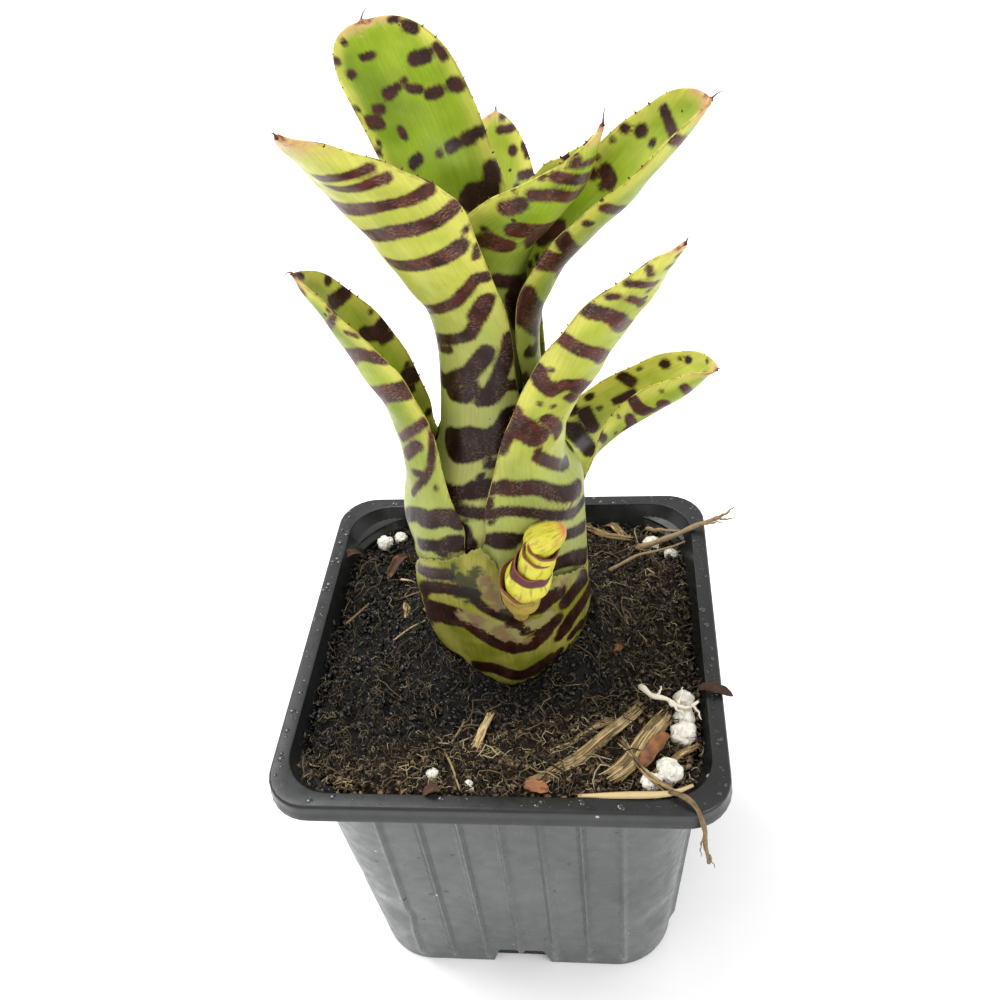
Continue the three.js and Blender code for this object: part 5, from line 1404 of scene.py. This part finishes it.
def leaf_skin():
    """Satin green leaf with maroon bands, yellow margins, and a pink and brown dry tip."""
    material, tree, shader = new_material(
        "leaf_skin", Specular_IOR_Level=0.17, Coat_Roughness=0.25,
        Subsurface_Weight=0.06, Subsurface_Scale=1.2 * MM,
    )
    place = place_in_mm(tree)
    across, along, margin = field_of(tree, "across"), field_of(tree, "along"), field_of(tree, "margin")
    tip, fresh, sage = field_of(tree, "tip"), field_of(tree, "yellow"), field_of(tree, "sage")

    deep = mixed(tree, ramped(tree, noise_of(tree, place, 0.1, 2.0), 0.35, 0.65),
                 tint(*LEAF_DEEP_GREEN), tint(*LEAF_GREEN))
    drift = worked_out(tree, "SUBTRACT", noise_of(tree, place, 0.14, 3.0), 0.5)
    drifted = worked_out(tree, "MULTIPLY_ADD", drift, 0.8, fresh)
    rim_light = times(tree, ramped(tree, margin, 0.3, 3.6, 0.5, 0.0), ramped(tree, sage, 0.0, 0.7, 1.0, 0.1))
    yellowness = worked_out(tree, "ADD", drifted, rim_light)
    green = mixed(tree, ramped(tree, yellowness, 0.1, 1.1), deep, tint(*LEAF_YELLOW))
    based = mixed(tree, sage, green, tint(*LEAF_SAGE))
    tissue = placed(tree, veined, Place=place, Across=across, Along=along, Colour=based, Depth=0.3)

    rough_tip = worked_out(tree, "MULTIPLY_ADD", noise_of(tree, place, 0.8, 2.0), 5.0, tip)
    pink = mixed(tree, ramped(tree, rough_tip, 3.6, 6.2, 0.75, 0.0), tissue["Colour"], tint(*TIP_PINK))
    edge_wear = noise_of(tree, place, 0.55, 2.0)
    worn_rim = times(tree, ramped(tree, margin, 0.05, 0.42, 0.4, 0.0), ramped(tree, edge_wear, 0.42, 0.6))
    rimmed = mixed(tree, worn_rim, pink, tint(*TIP_BROWN))

    dots = placed(tree, specks, Place=place, Spacing=3.2, Size=0.14, Patchiness=0.36)["Mask"]
    dotted = mixed(tree, times(tree, dots, 0.85), rimmed, tint(*BAND_DARK))
    bands = placed(tree, banding, Band=field_of(tree, "band"), Across=across, Along=along, Feather=0.45,
                   Scurf=field_of(tree, "scurf"))
    maroon = mixed(tree, field_of(tree, "dark"), tint(*BAND_MAROON), tint(*BAND_DARK))
    deepened = ramped(tree, noise_of(tree, place, 0.4, 3.0), 0.35, 0.65, 0.0, 0.75)
    varied = mixed(tree, deepened, maroon, tint(*BAND_DARK))
    silvered = mixed(tree, bands["Scurf"], varied, tint(*BAND_SCURF))
    banded = mixed(tree, bands["Mask"], dotted, silvered)
    browned = mixed(tree, ramped(tree, rough_tip, 2.2, 3.8, 1.0, 0.0), banded, tint(*TIP_BROWN))
    spined = mixed(tree, ramped(tree, margin, -0.8, -0.2, 1.0, 0.0), browned, tint(*SPINE_BROWN))

    smooth = ramped(tree, noise_of(tree, place, 0.5, 3.0), 0.3, 0.7, 0.3, 0.46)
    dull = worked_out(tree, "MULTIPLY_ADD", bands["Scurf"], 0.2, smooth)
    relief = worked_out(tree, "MULTIPLY_ADD", bands["Scurf"], 0.5, times(tree, tissue["Vein"], 0.6))
    surfaced(tree, shader, spined, dull, relief, 0.4, 0.12)
    waxy = ramped(tree, noise_of(tree, place, 0.2, 2.0), 0.4, 0.7, 0.0, 0.14)
    tree.links.new(waxy, shader.inputs["Coat Weight"])
    return material


def leaf_fields(leaf, fields):
    """What the leaf's colours follow, besides its bands: age, bareness and depth of the bands."""
    along, inside = fields["along"], fields["inside"]
    outer_yellow, inner_yellow = leaf["yellow"]
    on_blade = smooth_step(along, -6.0, 28.0)
    return dict(
        fields,
        band=leaf_bands(leaf, fields),
        tip=(leaf["length"] + TIP_SPINE - along) / leaf["dried"],
        yellow=np.where(inside < 0.5, outer_yellow, inner_yellow) * blend(0.6, 1.0, on_blade),
        sage=np.where(inside < 0.5, 0.72 * (1.0 - on_blade), 0.35 * (1.0 - on_blade)),
        dark=blend(0.95, 0.3, on_blade) + 0.35 * (inside > 0.5),
        scurf=np.where(inside < 0.5, blend(0.35, 0.9, on_blade), 0.2),
    )


leaf_surface = leaf_skin()
for leaf in LEAVES:
    rows = leaf_rows(leaf)
    skin_points, skin_faces, fields = leaf_shell(leaf, rows, leaf_tip(leaf, rows))
    fields = leaf_fields(leaf, fields)
    spines = leaf_spines(leaf, rows)
    points, faces = joined([(skin_points, skin_faces), spines])[:2]
    spine_values = dict(margin=-1.0, band=NO_BAND, tip=20.0)
    for field, values in fields.items():
        fields[field] = np.append(values, np.full(len(spines[0]), spine_values.get(field, 0.5)))
    blade = add_piece(leaf["name"].replace("leaf", "blade"), points, faces, fields)
    blade.data.materials.append(leaf_surface)
    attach(blade, "root")
    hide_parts(leaf["name"])


# The torn old leaf base
# The lowest base of the bulb. Its blade is gone, and its upper edge is torn, with a notch at the
# front from which the side shoot comes. Round the notch it dries out pale and speckled.

OLD_AZIMUTH, OLD_HUG = 268, 100
OLD_PRESSED, OLD_PRESSED_TOWARDS, OLD_PRESSED_FROM, OLD_PRESSED_FULLY = 0.5, 340, 58, 82
CLING, CLING_REACH = 0.35, 3.0
OLD_COLUMNS, OLD_ROWS = 321, 100
OLD_DEGREE = 0.32  # a degree round the bulb in millimetres, at the old base
# How much the wrap is drawn in at its left, round which degree, and between which heights it sets in
DRAWN_IN, DRAWN_IN_AT, DRAWN_IN_REACH, DRAWN_IN_FROM = 0.8, 195.0, 28.0, (84.0, 98.0)
# How far the shoot pushes the torn edge out, and where: degree, height, and the reach of both
FLARE, FLARE_AT, FLARE_REACH = 0.9, (284.0, 103.0), (10.0, 5.0)
# Bands, then pale torn tissue, then dark grey patches: half thickness, then degrees and heights
OLD_BANDS = [
    (2.45, 215, 92.5, 222, 94.5, 232, 96.8), (2.95, 232, 96.8, 242, 98.2, 249, 98.5),
    (2.05, 249, 98.7, 256, 96.8, 260, 95.5, 270, 92.2, 280, 89.9), (1.65, 280, 89.9, 290, 89.3),
    (2.05, 290, 89.8, 300, 92.1), (1.55, 300, 92.3, 306, 93.4, 309, 94.1), (1.25, 311, 88.2, 316, 89.6),
    (2.15, 316, 89.8, 322, 91.5, 330, 92.1, 345, 92.4, 358, 91),
    (1.85, 252, 81.7, 262, 82.2, 268, 80.9, 275, 79.2, 282, 78.6, 290, 79.6, 297, 81),
    (1.15, 297, 81.3, 303, 82.6), (1.05, 307, 81.3, 311, 82.8),
    (1.15, 322, 85.4, 330, 86, 338, 84.5, 350, 84),
    (1.25, 216, 97.5, 224, 102, 230, 104, 240, 105.9, 250, 106.7, 262, 106.5),
    (0.85, 221, 106.7, 230, 107.8), (1.05, 230, 107.8, 240, 109.3, 247, 110.2),
    (0.95, 263, 104.6, 268, 102.4, 275, 100.3, 282, 98.7), (2.25, 284, 97, 289, 95.5),
    (1.85, 293, 101, 300, 100.4, 306, 101.6, 312, 101.6),
    (1.95, 318, 97.8, 325, 98.8, 335, 98.8, 345, 98), (1.45, 180, 84, 196, 88, 212, 89),
    (1.45, 170, 76, 190, 79, 212, 80, 236, 82),
]
BARE_TISSUE = [
    (2.3, 254, 99.5, 262, 98.6, 270, 96.5, 278, 94), (1.3, 280, 93, 288, 91.6),
    (1.5, 291, 97, 294, 95.5, 299, 95.8, 305, 97), (1.7, 269, 110, 272, 106, 276, 103),
    (1.0, 282, 75.5, 300, 75.8), (1.0, 296, 103.5, 302, 105, 310, 104.5, 320, 103),
]
DARK_PATCHES = [
    (1.1, 250, 112), (2.0, 254, 109.6, 259, 109.2), (1.2, 262, 111.5, 265, 112.5),
    (1.6, 253, 106, 262, 107), (0.9, 257, 104, 262, 104.5), (1.3, 278, 101.5, 284, 100.5),
]
OLD_GREEN, OLD_YELLOW, OLD_BROWN = (116, 118, 32), (154, 148, 66), (44, 17, 12)
BARE_BEIGE, BARE_PINK, DARK_PATCH_GREY = (134, 128, 78), (120, 98, 68), (34, 30, 26)


def old_sheath():
    """The wrap, with each column of its rows squeezed down to end at the torn edge."""
    steps = np.hypot(np.diff(TORN_EDGE[:, 0]) * OLD_DEGREE, np.diff(TORN_EDGE[:, 1]))
    round_edge = np.concatenate([[0.0], np.cumsum(steps)])
    ends = np.interp([OLD_AZIMUTH - OLD_HUG, OLD_AZIMUTH + OLD_HUG], TORN_EDGE[:, 0], round_edge)
    place = np.linspace(*ends, OLD_COLUMNS)
    azimuth = np.interp(place, round_edge, TORN_EDGE[:, 0])
    ragged = 0.2 * np.sin(place * 2.9) + 0.14 * np.sin(place * 6.7 + 1.0) + 0.1 * np.sin(place * 13.0)
    top = np.interp(place, round_edge, TORN_EDGE[:, 1]) + ragged
    shares = np.linspace(0.0, 1.0, OLD_ROWS)
    heights = LOWEST_FOOT + shares[:, None] * (top - LOWEST_FOOT)[None]
    pressed = OLD_PRESSED * smooth_step(heights, OLD_PRESSED_FROM, OLD_PRESSED_FULLY)
    centre = bulb_axis(heights) + around(math.radians(OLD_PRESSED_TOWARDS)) * pressed[..., None]
    out = around(np.radians(azimuth))[None]
    drawn_in = DRAWN_IN * np.exp(-((azimuth[None] - DRAWN_IN_AT) / DRAWN_IN_REACH) ** 2)
    radius = bulb_radius(heights, 0) - pressed - drawn_in * smooth_step(heights, *DRAWN_IN_FROM)
    # The tissue thins to its torn edge, which clings to the bases inside it, but is pushed out
    # by the shoot
    edge = (0.0, *(TORN_EDGE * (OLD_DEGREE, 1.0)).ravel())
    below = -band_depth([edge], np.repeat(azimuth[None] * OLD_DEGREE, OLD_ROWS, axis=0), heights)
    near_shoot = np.exp(-(((azimuth[None] - FLARE_AT[0]) / FLARE_REACH[0]) ** 2
                          + ((heights - FLARE_AT[1]) / FLARE_REACH[1]) ** 2))
    radius = radius + blend(-CLING, FLARE, near_shoot) * (1.0 - smooth_step(below, 0.0, CLING_REACH))
    thickness = LEAF_THICKNESS * blend(0.4, 1.0, smooth_step(below, 0.0, 2.0))
    loops = np.concatenate([centre + out * (radius - LEAF_THICKNESS + thickness)[..., None],
                            (centre + out * (radius - LEAF_THICKNESS)[..., None])[:, ::-1]], axis=1)
    points, faces = lofted(list(loops), close_start=False, close_end=False)
    size = 2 * OLD_COLUMNS
    last = (OLD_ROWS - 1) * size
    for j in range(OLD_COLUMNS - 1):
        faces.append([j + 1, j, size - 1 - j, size - 2 - j])
        faces.append([last + j, last + j + 1, last + size - 2 - j, last + size - 1 - j])
    both = np.concatenate([azimuth, azimuth[::-1]]) * OLD_DEGREE
    fields = dict(
        along=np.concatenate([heights, heights[:, ::-1]], axis=1).ravel(),
        across=np.tile(both, OLD_ROWS),
        margin=np.concatenate([below, below[:, ::-1]], axis=1).ravel(),
    )
    return points, faces, fields


def in_old_millimetres(lines):
    """Lines given in degrees and heights, in millimetres round the bulb."""
    return [(half, *(value * (OLD_DEGREE if place % 2 == 0 else 1.0) for place, value in enumerate(line)))
            for half, *line in lines]


def old_leaf_skin():
    """Drying green tissue with darker bands, pale and speckled where it is torn."""
    material, tree, shader = new_material("old_leaf_skin", Specular_IOR_Level=0.15, Coat_Roughness=0.3)
    place = place_in_mm(tree)
    across, along, margin = field_of(tree, "across"), field_of(tree, "along"), field_of(tree, "margin")
    yellowed = ramped(tree, noise_of(tree, place, 0.13, 3.0), 0.38, 0.62)
    green = mixed(tree, yellowed, tint(*OLD_GREEN), tint(*OLD_YELLOW))
    tissue = placed(tree, veined, Place=place, Across=across, Along=along, Colour=green, Depth=0.5)
    bands = placed(tree, banding, Band=field_of(tree, "band"), Across=across, Along=along, Feather=0.5,
                   Scurf=0.25)
    lighter = ramped(tree, noise_of(tree, place, 0.35, 3.0), 0.35, 0.65)
    brown = mixed(tree, lighter, tint(*BAND_DARK), tint(*OLD_BROWN))
    silvered = mixed(tree, bands["Scurf"], brown, tint(*BAND_SCURF))
    banded = mixed(tree, bands["Mask"], tissue["Colour"], silvered)

    ragged = noise_of(tree, place, 0.9, 5.0, 0.75)
    torn = ramped(tree, worked_out(tree, "MULTIPLY_ADD", ragged, 5.0, field_of(tree, "bare")), 2.3, 3.2)
    pinkish = ramped(tree, noise_of(tree, place, 0.3, 2.0), 0.4, 0.6)
    bare = mixed(tree, pinkish, tint(*BARE_BEIGE), tint(*BARE_PINK))
    peeled = mixed(tree, torn, banded, bare)
    dry_rim = mixed(tree, ramped(tree, margin, 0.05, 0.45, 0.6, 0.0), peeled, tint(*BARE_BEIGE))
    dirt = placed(tree, specks, Place=place, Spacing=0.8, Size=0.24, Patchiness=0.5)["Mask"]
    near_tear = ramped(tree, field_of(tree, "bare"), -3.0, 0.5, 0.4, 1.0)
    spotted = mixed(tree, times(tree, dirt, near_tear), dry_rim, tint(*BAND_DARK))
    # Dark grey patches at the listed places, with clouded edges.
    cloudy = noise_of(tree, place, 0.8, 3.0)
    dark_patch = worked_out(tree, "MULTIPLY_ADD", cloudy, 2.4, field_of(tree, "dark_patch"))
    darkened = mixed(tree, ramped(tree, dark_patch, 0.9, 1.8, 0.0, 0.85), spotted, tint(*DARK_PATCH_GREY))
    relief = worked_out(tree, "MULTIPLY_ADD", dirt, 0.6, tissue["Vein"])
    surfaced(tree, shader, darkened, worked_out(tree, "MULTIPLY_ADD", torn, 0.35, 0.36), relief, depth=0.12)
    tree.links.new(ramped(tree, torn, 0.0, 1.0, 0.1, 0.0), shader.inputs["Coat Weight"])
    return material


points, faces, fields = old_sheath()
for field, lines in (("band", OLD_BANDS), ("bare", BARE_TISSUE), ("dark_patch", DARK_PATCHES)):
    fields[field] = band_depth(in_old_millimetres(lines), fields["across"], fields["along"])
torn_base = add_piece("torn_base", points, faces, fields)
torn_base.data.materials.append(old_leaf_skin())
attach(torn_base, "root")
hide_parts("old_basal_sheath")


# The side shoot
# A young offset of wrapped yellow scale leaves, which pushes out of the torn base at the front and
# leans outwards. Each scale is a cup round the next, with a maroon rim, and the last is a knob.

# Scales from the outside in: the middle of the foot and of the mouth, the radius at foot, belly
# and mouth, and the depth of the maroon rim. The bud in them has its radii at shares of its length.
SHOOT_SCALES = [
    ((5.0, -13.2, 99.5), (6.0, -14.4, 111.4), 1.6, 4.2, 5.2, 0.45),
    ((5.8, -14.4, 106.5), (8.2, -14.8, 115.9), 3.4, 5.0, 4.1, 1.7),
    ((7.4, -14.1, 111.0), (9.7, -14.4, 118.5), 2.9, 3.9, 3.7, 0.25),
    ((8.4, -13.9, 114.0), (10.6, -13.9, 119.4), 2.6, 3.6, 3.5, 0.25),
]
SHOOT_RISES, SHOOT_FACES = np.array([0.12, -0.1, 0.99]), np.array([0.5, -0.42, 0.76])
BUD_FOOT, BUD_END = np.array([7.0, -14.0, 118.2]), np.array([14.6, -11.6, 120.9])
BUD_RADII = [(0.0, 0.3), (0.05, 1.8), (0.15, 2.9), (0.3, 3.5), (0.5, 3.4), (0.7, 2.9), (0.85, 2.2),
             (0.95, 1.4), (1.0, 0.4)]
SHOOT_SIDES, SCALE_RINGS, BUD_RINGS = 56, 17, 30
BUD_LENGTH, BUD_RADIUS, BUD_FOLDS, SCALE_FOLDS = 7.6, 3.5, 0.07, 0.03
SHOOT_FLATTENED = 0.7
SCALE_THICKNESS = 0.35
SHOOT_YELLOW, SHOOT_OCHRE, SHOOT_OLIVE = (200, 194, 58), (166, 142, 66), (122, 116, 40)
# The pink is both the young scales' own flush and the painted highlight on the scales' lips.
SHOOT_MAROON, SHOOT_FLUSH_AND_HIGHLIGHT_PINK, SHOOT_ORANGE = (82, 28, 26), (172, 92, 70), (196, 112, 46)


def shoot_ring(centre, facing, radius, folds=SCALE_FOLDS):
    """A ring square to where it faces, flattened where it lies against the bulb behind it."""
    facing = facing / np.linalg.norm(facing)
    across = np.cross(facing, UP)
    across /= np.linalg.norm(across)
    over = np.cross(across, facing)
    angles = np.linspace(0, 2 * math.pi, SHOOT_SIDES, endpoint=False)[:, None]
    wobble = 1.0 + folds * np.sin(3 * angles + centre[2]) + 0.6 * folds * np.sin(7 * angles)
    rise = np.sin(angles)
    rise = np.where(rise > 0.0, SHOOT_FLATTENED * rise, rise)
    return centre + radius * wobble * (across * np.cos(angles) + over * rise)


def shoot_scales():
    """The cups, from the lowest one up, and the folded knob in the middle."""
    round_angle = np.linspace(0, 2 * math.pi, SHOOT_SIDES, endpoint=False)
    parts, fields = [], dict(rim=[], maroon=[], turn=[])
    for foot, mouth, foot_radius, belly, mouth_radius, maroon in SHOOT_SCALES:
        shares = np.linspace(0.0, 1.0, SCALE_RINGS)
        radii = np.where(shares < 0.6, blend(foot_radius, belly, smooth_step(shares, 0, 0.6)),
                         blend(belly, mouth_radius, smooth_step(shares, 0.6, 1)))
        rings = []
        for share, radius in [*zip(shares, radii), *zip(shares[::-1], radii[::-1] - SCALE_THICKNESS)]:
            centre = blend(np.array(foot), np.array(mouth), share)
            rings.append(shoot_ring(centre, blend(SHOOT_RISES, SHOOT_FACES, share), max(radius, 0.3)))
        parts.append(lofted(rings))
        length = np.linalg.norm(np.subtract(mouth, foot))
        below = np.concatenate([1.0 - shares, 1.0 - shares[::-1]]) * length
        fields["rim"].append(np.repeat(below, SHOOT_SIDES))
        fields["maroon"].append(np.full(len(below) * SHOOT_SIDES, maroon))
        fields["turn"].append(np.tile(round_angle * belly, len(below)))
    shares = np.linspace(0.0, 1.0, BUD_RINGS)
    radii = np.interp(shares, *np.array(BUD_RADII).T)
    parts.append(lofted([shoot_ring(blend(BUD_FOOT, BUD_END, share), BUD_END - BUD_FOOT, radius, BUD_FOLDS)
                         for share, radius in zip(shares, radii)]))
    fields["rim"].append(np.repeat(BUD_LENGTH * (1.0 - shares), SHOOT_SIDES))
    fields["maroon"].append(np.full(len(shares) * SHOOT_SIDES, -1.0))
    fields["turn"].append(np.tile(round_angle * BUD_RADIUS, len(shares)))
    points, faces, owners = joined(parts)
    fields = {name: np.concatenate(values) for name, values in fields.items()}
    return points, faces, dict(fields, scale=owners.astype(float))


def shoot_skin():
    """Yellow scales with maroon rims, shaded olive, reddish streaks towards the tip, and a painted highlight
    of pale pink along each lip.
    """
    material, tree, shader = new_material(
        "shoot_skin", Specular_IOR_Level=0.35, Coat_Weight=0.12, Coat_Roughness=0.25,
        Subsurface_Weight=0.08, Subsurface_Scale=1.5 * MM,
    )
    place = place_in_mm(tree)
    rim, depth, scale = field_of(tree, "rim"), field_of(tree, "maroon"), field_of(tree, "scale")
    drift = noise_of(tree, place, 0.4, 3.0)
    aged = worked_out(tree, "MULTIPLY_ADD", drift, 0.9, ramped(tree, scale, 0.0, 1.0, 0.45, -0.1))
    yellow = mixed(tree, ramped(tree, aged, 0.3, 0.8), tint(*SHOOT_YELLOW), tint(*SHOOT_OCHRE))
    streak_place = add_node(tree, "ShaderNodeCombineXYZ", {
        "X": times(tree, field_of(tree, "turn"), 1.3),
        "Y": times(tree, rim, 0.25),
        "Z": times(tree, scale, 9.0),
    })
    streaks = noise_of(tree, streak_place.outputs[0], 1.0, 3.0)
    shaded = mixed(tree, ramped(tree, streaks, 0.52, 0.68, 0.0, 0.7), yellow, tint(*SHOOT_OLIVE))
    young = ramped(tree, scale, 2.5, 4.0)
    redder = times(tree, ramped(tree, streaks, 0.47, 0.36), young, 0.45)
    flushed = mixed(tree, redder, shaded, tint(*SHOOT_FLUSH_AND_HIGHLIGHT_PINK))
    last = times(tree, ramped(tree, rim, 0.3, 1.5, 0.9, 0.0), ramped(tree, scale, 3.4, 3.6))
    tipped = mixed(tree, last, flushed, tint(*SHOOT_ORANGE))
    edge = worked_out(tree, "SUBTRACT", worked_out(tree, "MULTIPLY_ADD", drift, 0.5, rim), depth)
    rimmed = mixed(tree, ramped(tree, edge, 0.05, 0.5, 1.0, 0.0), tipped, tint(*SHOOT_MAROON))
    # Painted highlight: a thin line of pale pink along the lip of each cup.
    lip_highlight = times(tree, ramped(tree, rim, 0.05, 0.35, 0.3, 0.0), ramped(tree, depth, 0.0, 0.2))
    colour = mixed(tree, lip_highlight, rimmed, tint(*SHOOT_FLUSH_AND_HIGHLIGHT_PINK))
    surfaced(tree, shader, colour, ramped(tree, drift, 0.3, 0.7, 0.32, 0.5), streaks)
    return material


shoot = add_piece("shoot_scales", *shoot_scales())
shoot.data.materials.append(shoot_skin())
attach(shoot, "root")
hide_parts("offset_shoot")


# The floor, the lights and the camera
# A white table under a wide softbox and a white studio, seen from the photograph's angle.

FLOOR_HALF = 3000.0
CAMERA_PLACE = (23.815, -150.782, 248.760)
CAMERA_RIGHT = (0.99369853, 0.07510973, -0.08319717)
CAMERA_UP = (0.01344901, 0.65700156, 0.75376925)
CAMERA_FORWARD = (-0.11127608, 0.75013831, -0.65185133)
FOCAL_PIXELS = 1035.125
FRAME_PIXELS = 1000.0
SENSOR_WIDTH = 36.0
STUDIO_STRENGTH = 1.05
# Softboxes: place, what they look at, side lengths, and power in watts
SOFTBOXES = [
    ((-500.0, 250.0, 900.0), (0.0, 0.0, 90.0), 700.0, 9.0),
    ((650.0, -500.0, 700.0), (0.0, 0.0, 90.0), 600.0, 3.5),
]


def table_paper():
    """Bright white paper with the faintest grain."""
    material, tree, shader = new_material("table_paper", Specular_IOR_Level=0.1, Roughness=0.9)
    paper = placed(tree, mottle, Place=place_in_mm(tree), Darker=tint(250, 250, 250),
                   Lighter=tint(254, 254, 254), Patch=60.0)
    surfaced(tree, shader, paper["Colour"])
    return material


floor = add_piece("floor", np.array([
    (-FLOOR_HALF, -FLOOR_HALF, 0.0),
    (FLOOR_HALF, -FLOOR_HALF, 0.0),
    (FLOOR_HALF, FLOOR_HALF, 0.0),
    (-FLOOR_HALF, FLOOR_HALF, 0.0),
]), [[0, 1, 2, 3]])
floor.data.materials.append(table_paper())

world = bpy.data.worlds.new("studio")
world.use_nodes = True
world.node_tree.nodes["Background"].inputs["Color"].default_value = (1.0, 1.0, 1.0, 1.0)
world.node_tree.nodes["Background"].inputs["Strength"].default_value = STUDIO_STRENGTH
bpy.context.scene.world = world
bpy.context.scene.view_settings.view_transform = "Standard"

for number, (place, target, side, power) in enumerate(SOFTBOXES):
    light_data = bpy.data.lights.new(f"softbox_{number}", "AREA")
    light_data.size = side * MM
    light_data.energy = power
    light = bpy.data.objects.new(f"softbox_{number}", light_data)
    light.location = Vector(place) * MM
    light.rotation_euler = (Vector(place) - Vector(target)).to_track_quat("Z", "Y").to_euler()
    bpy.context.scene.collection.objects.link(light)

camera_data = bpy.data.cameras.new("camera")
camera_data.sensor_width = SENSOR_WIDTH
camera_data.lens = SENSOR_WIDTH * FOCAL_PIXELS / FRAME_PIXELS
camera = bpy.data.objects.new("camera", camera_data)
bpy.context.scene.collection.objects.link(camera)
axes = Matrix((CAMERA_RIGHT, CAMERA_UP, [-value for value in CAMERA_FORWARD])).transposed()
camera.matrix_world = Matrix.Translation(Vector(CAMERA_PLACE) * MM) @ axes.to_4x4()
bpy.context.scene.camera = camera
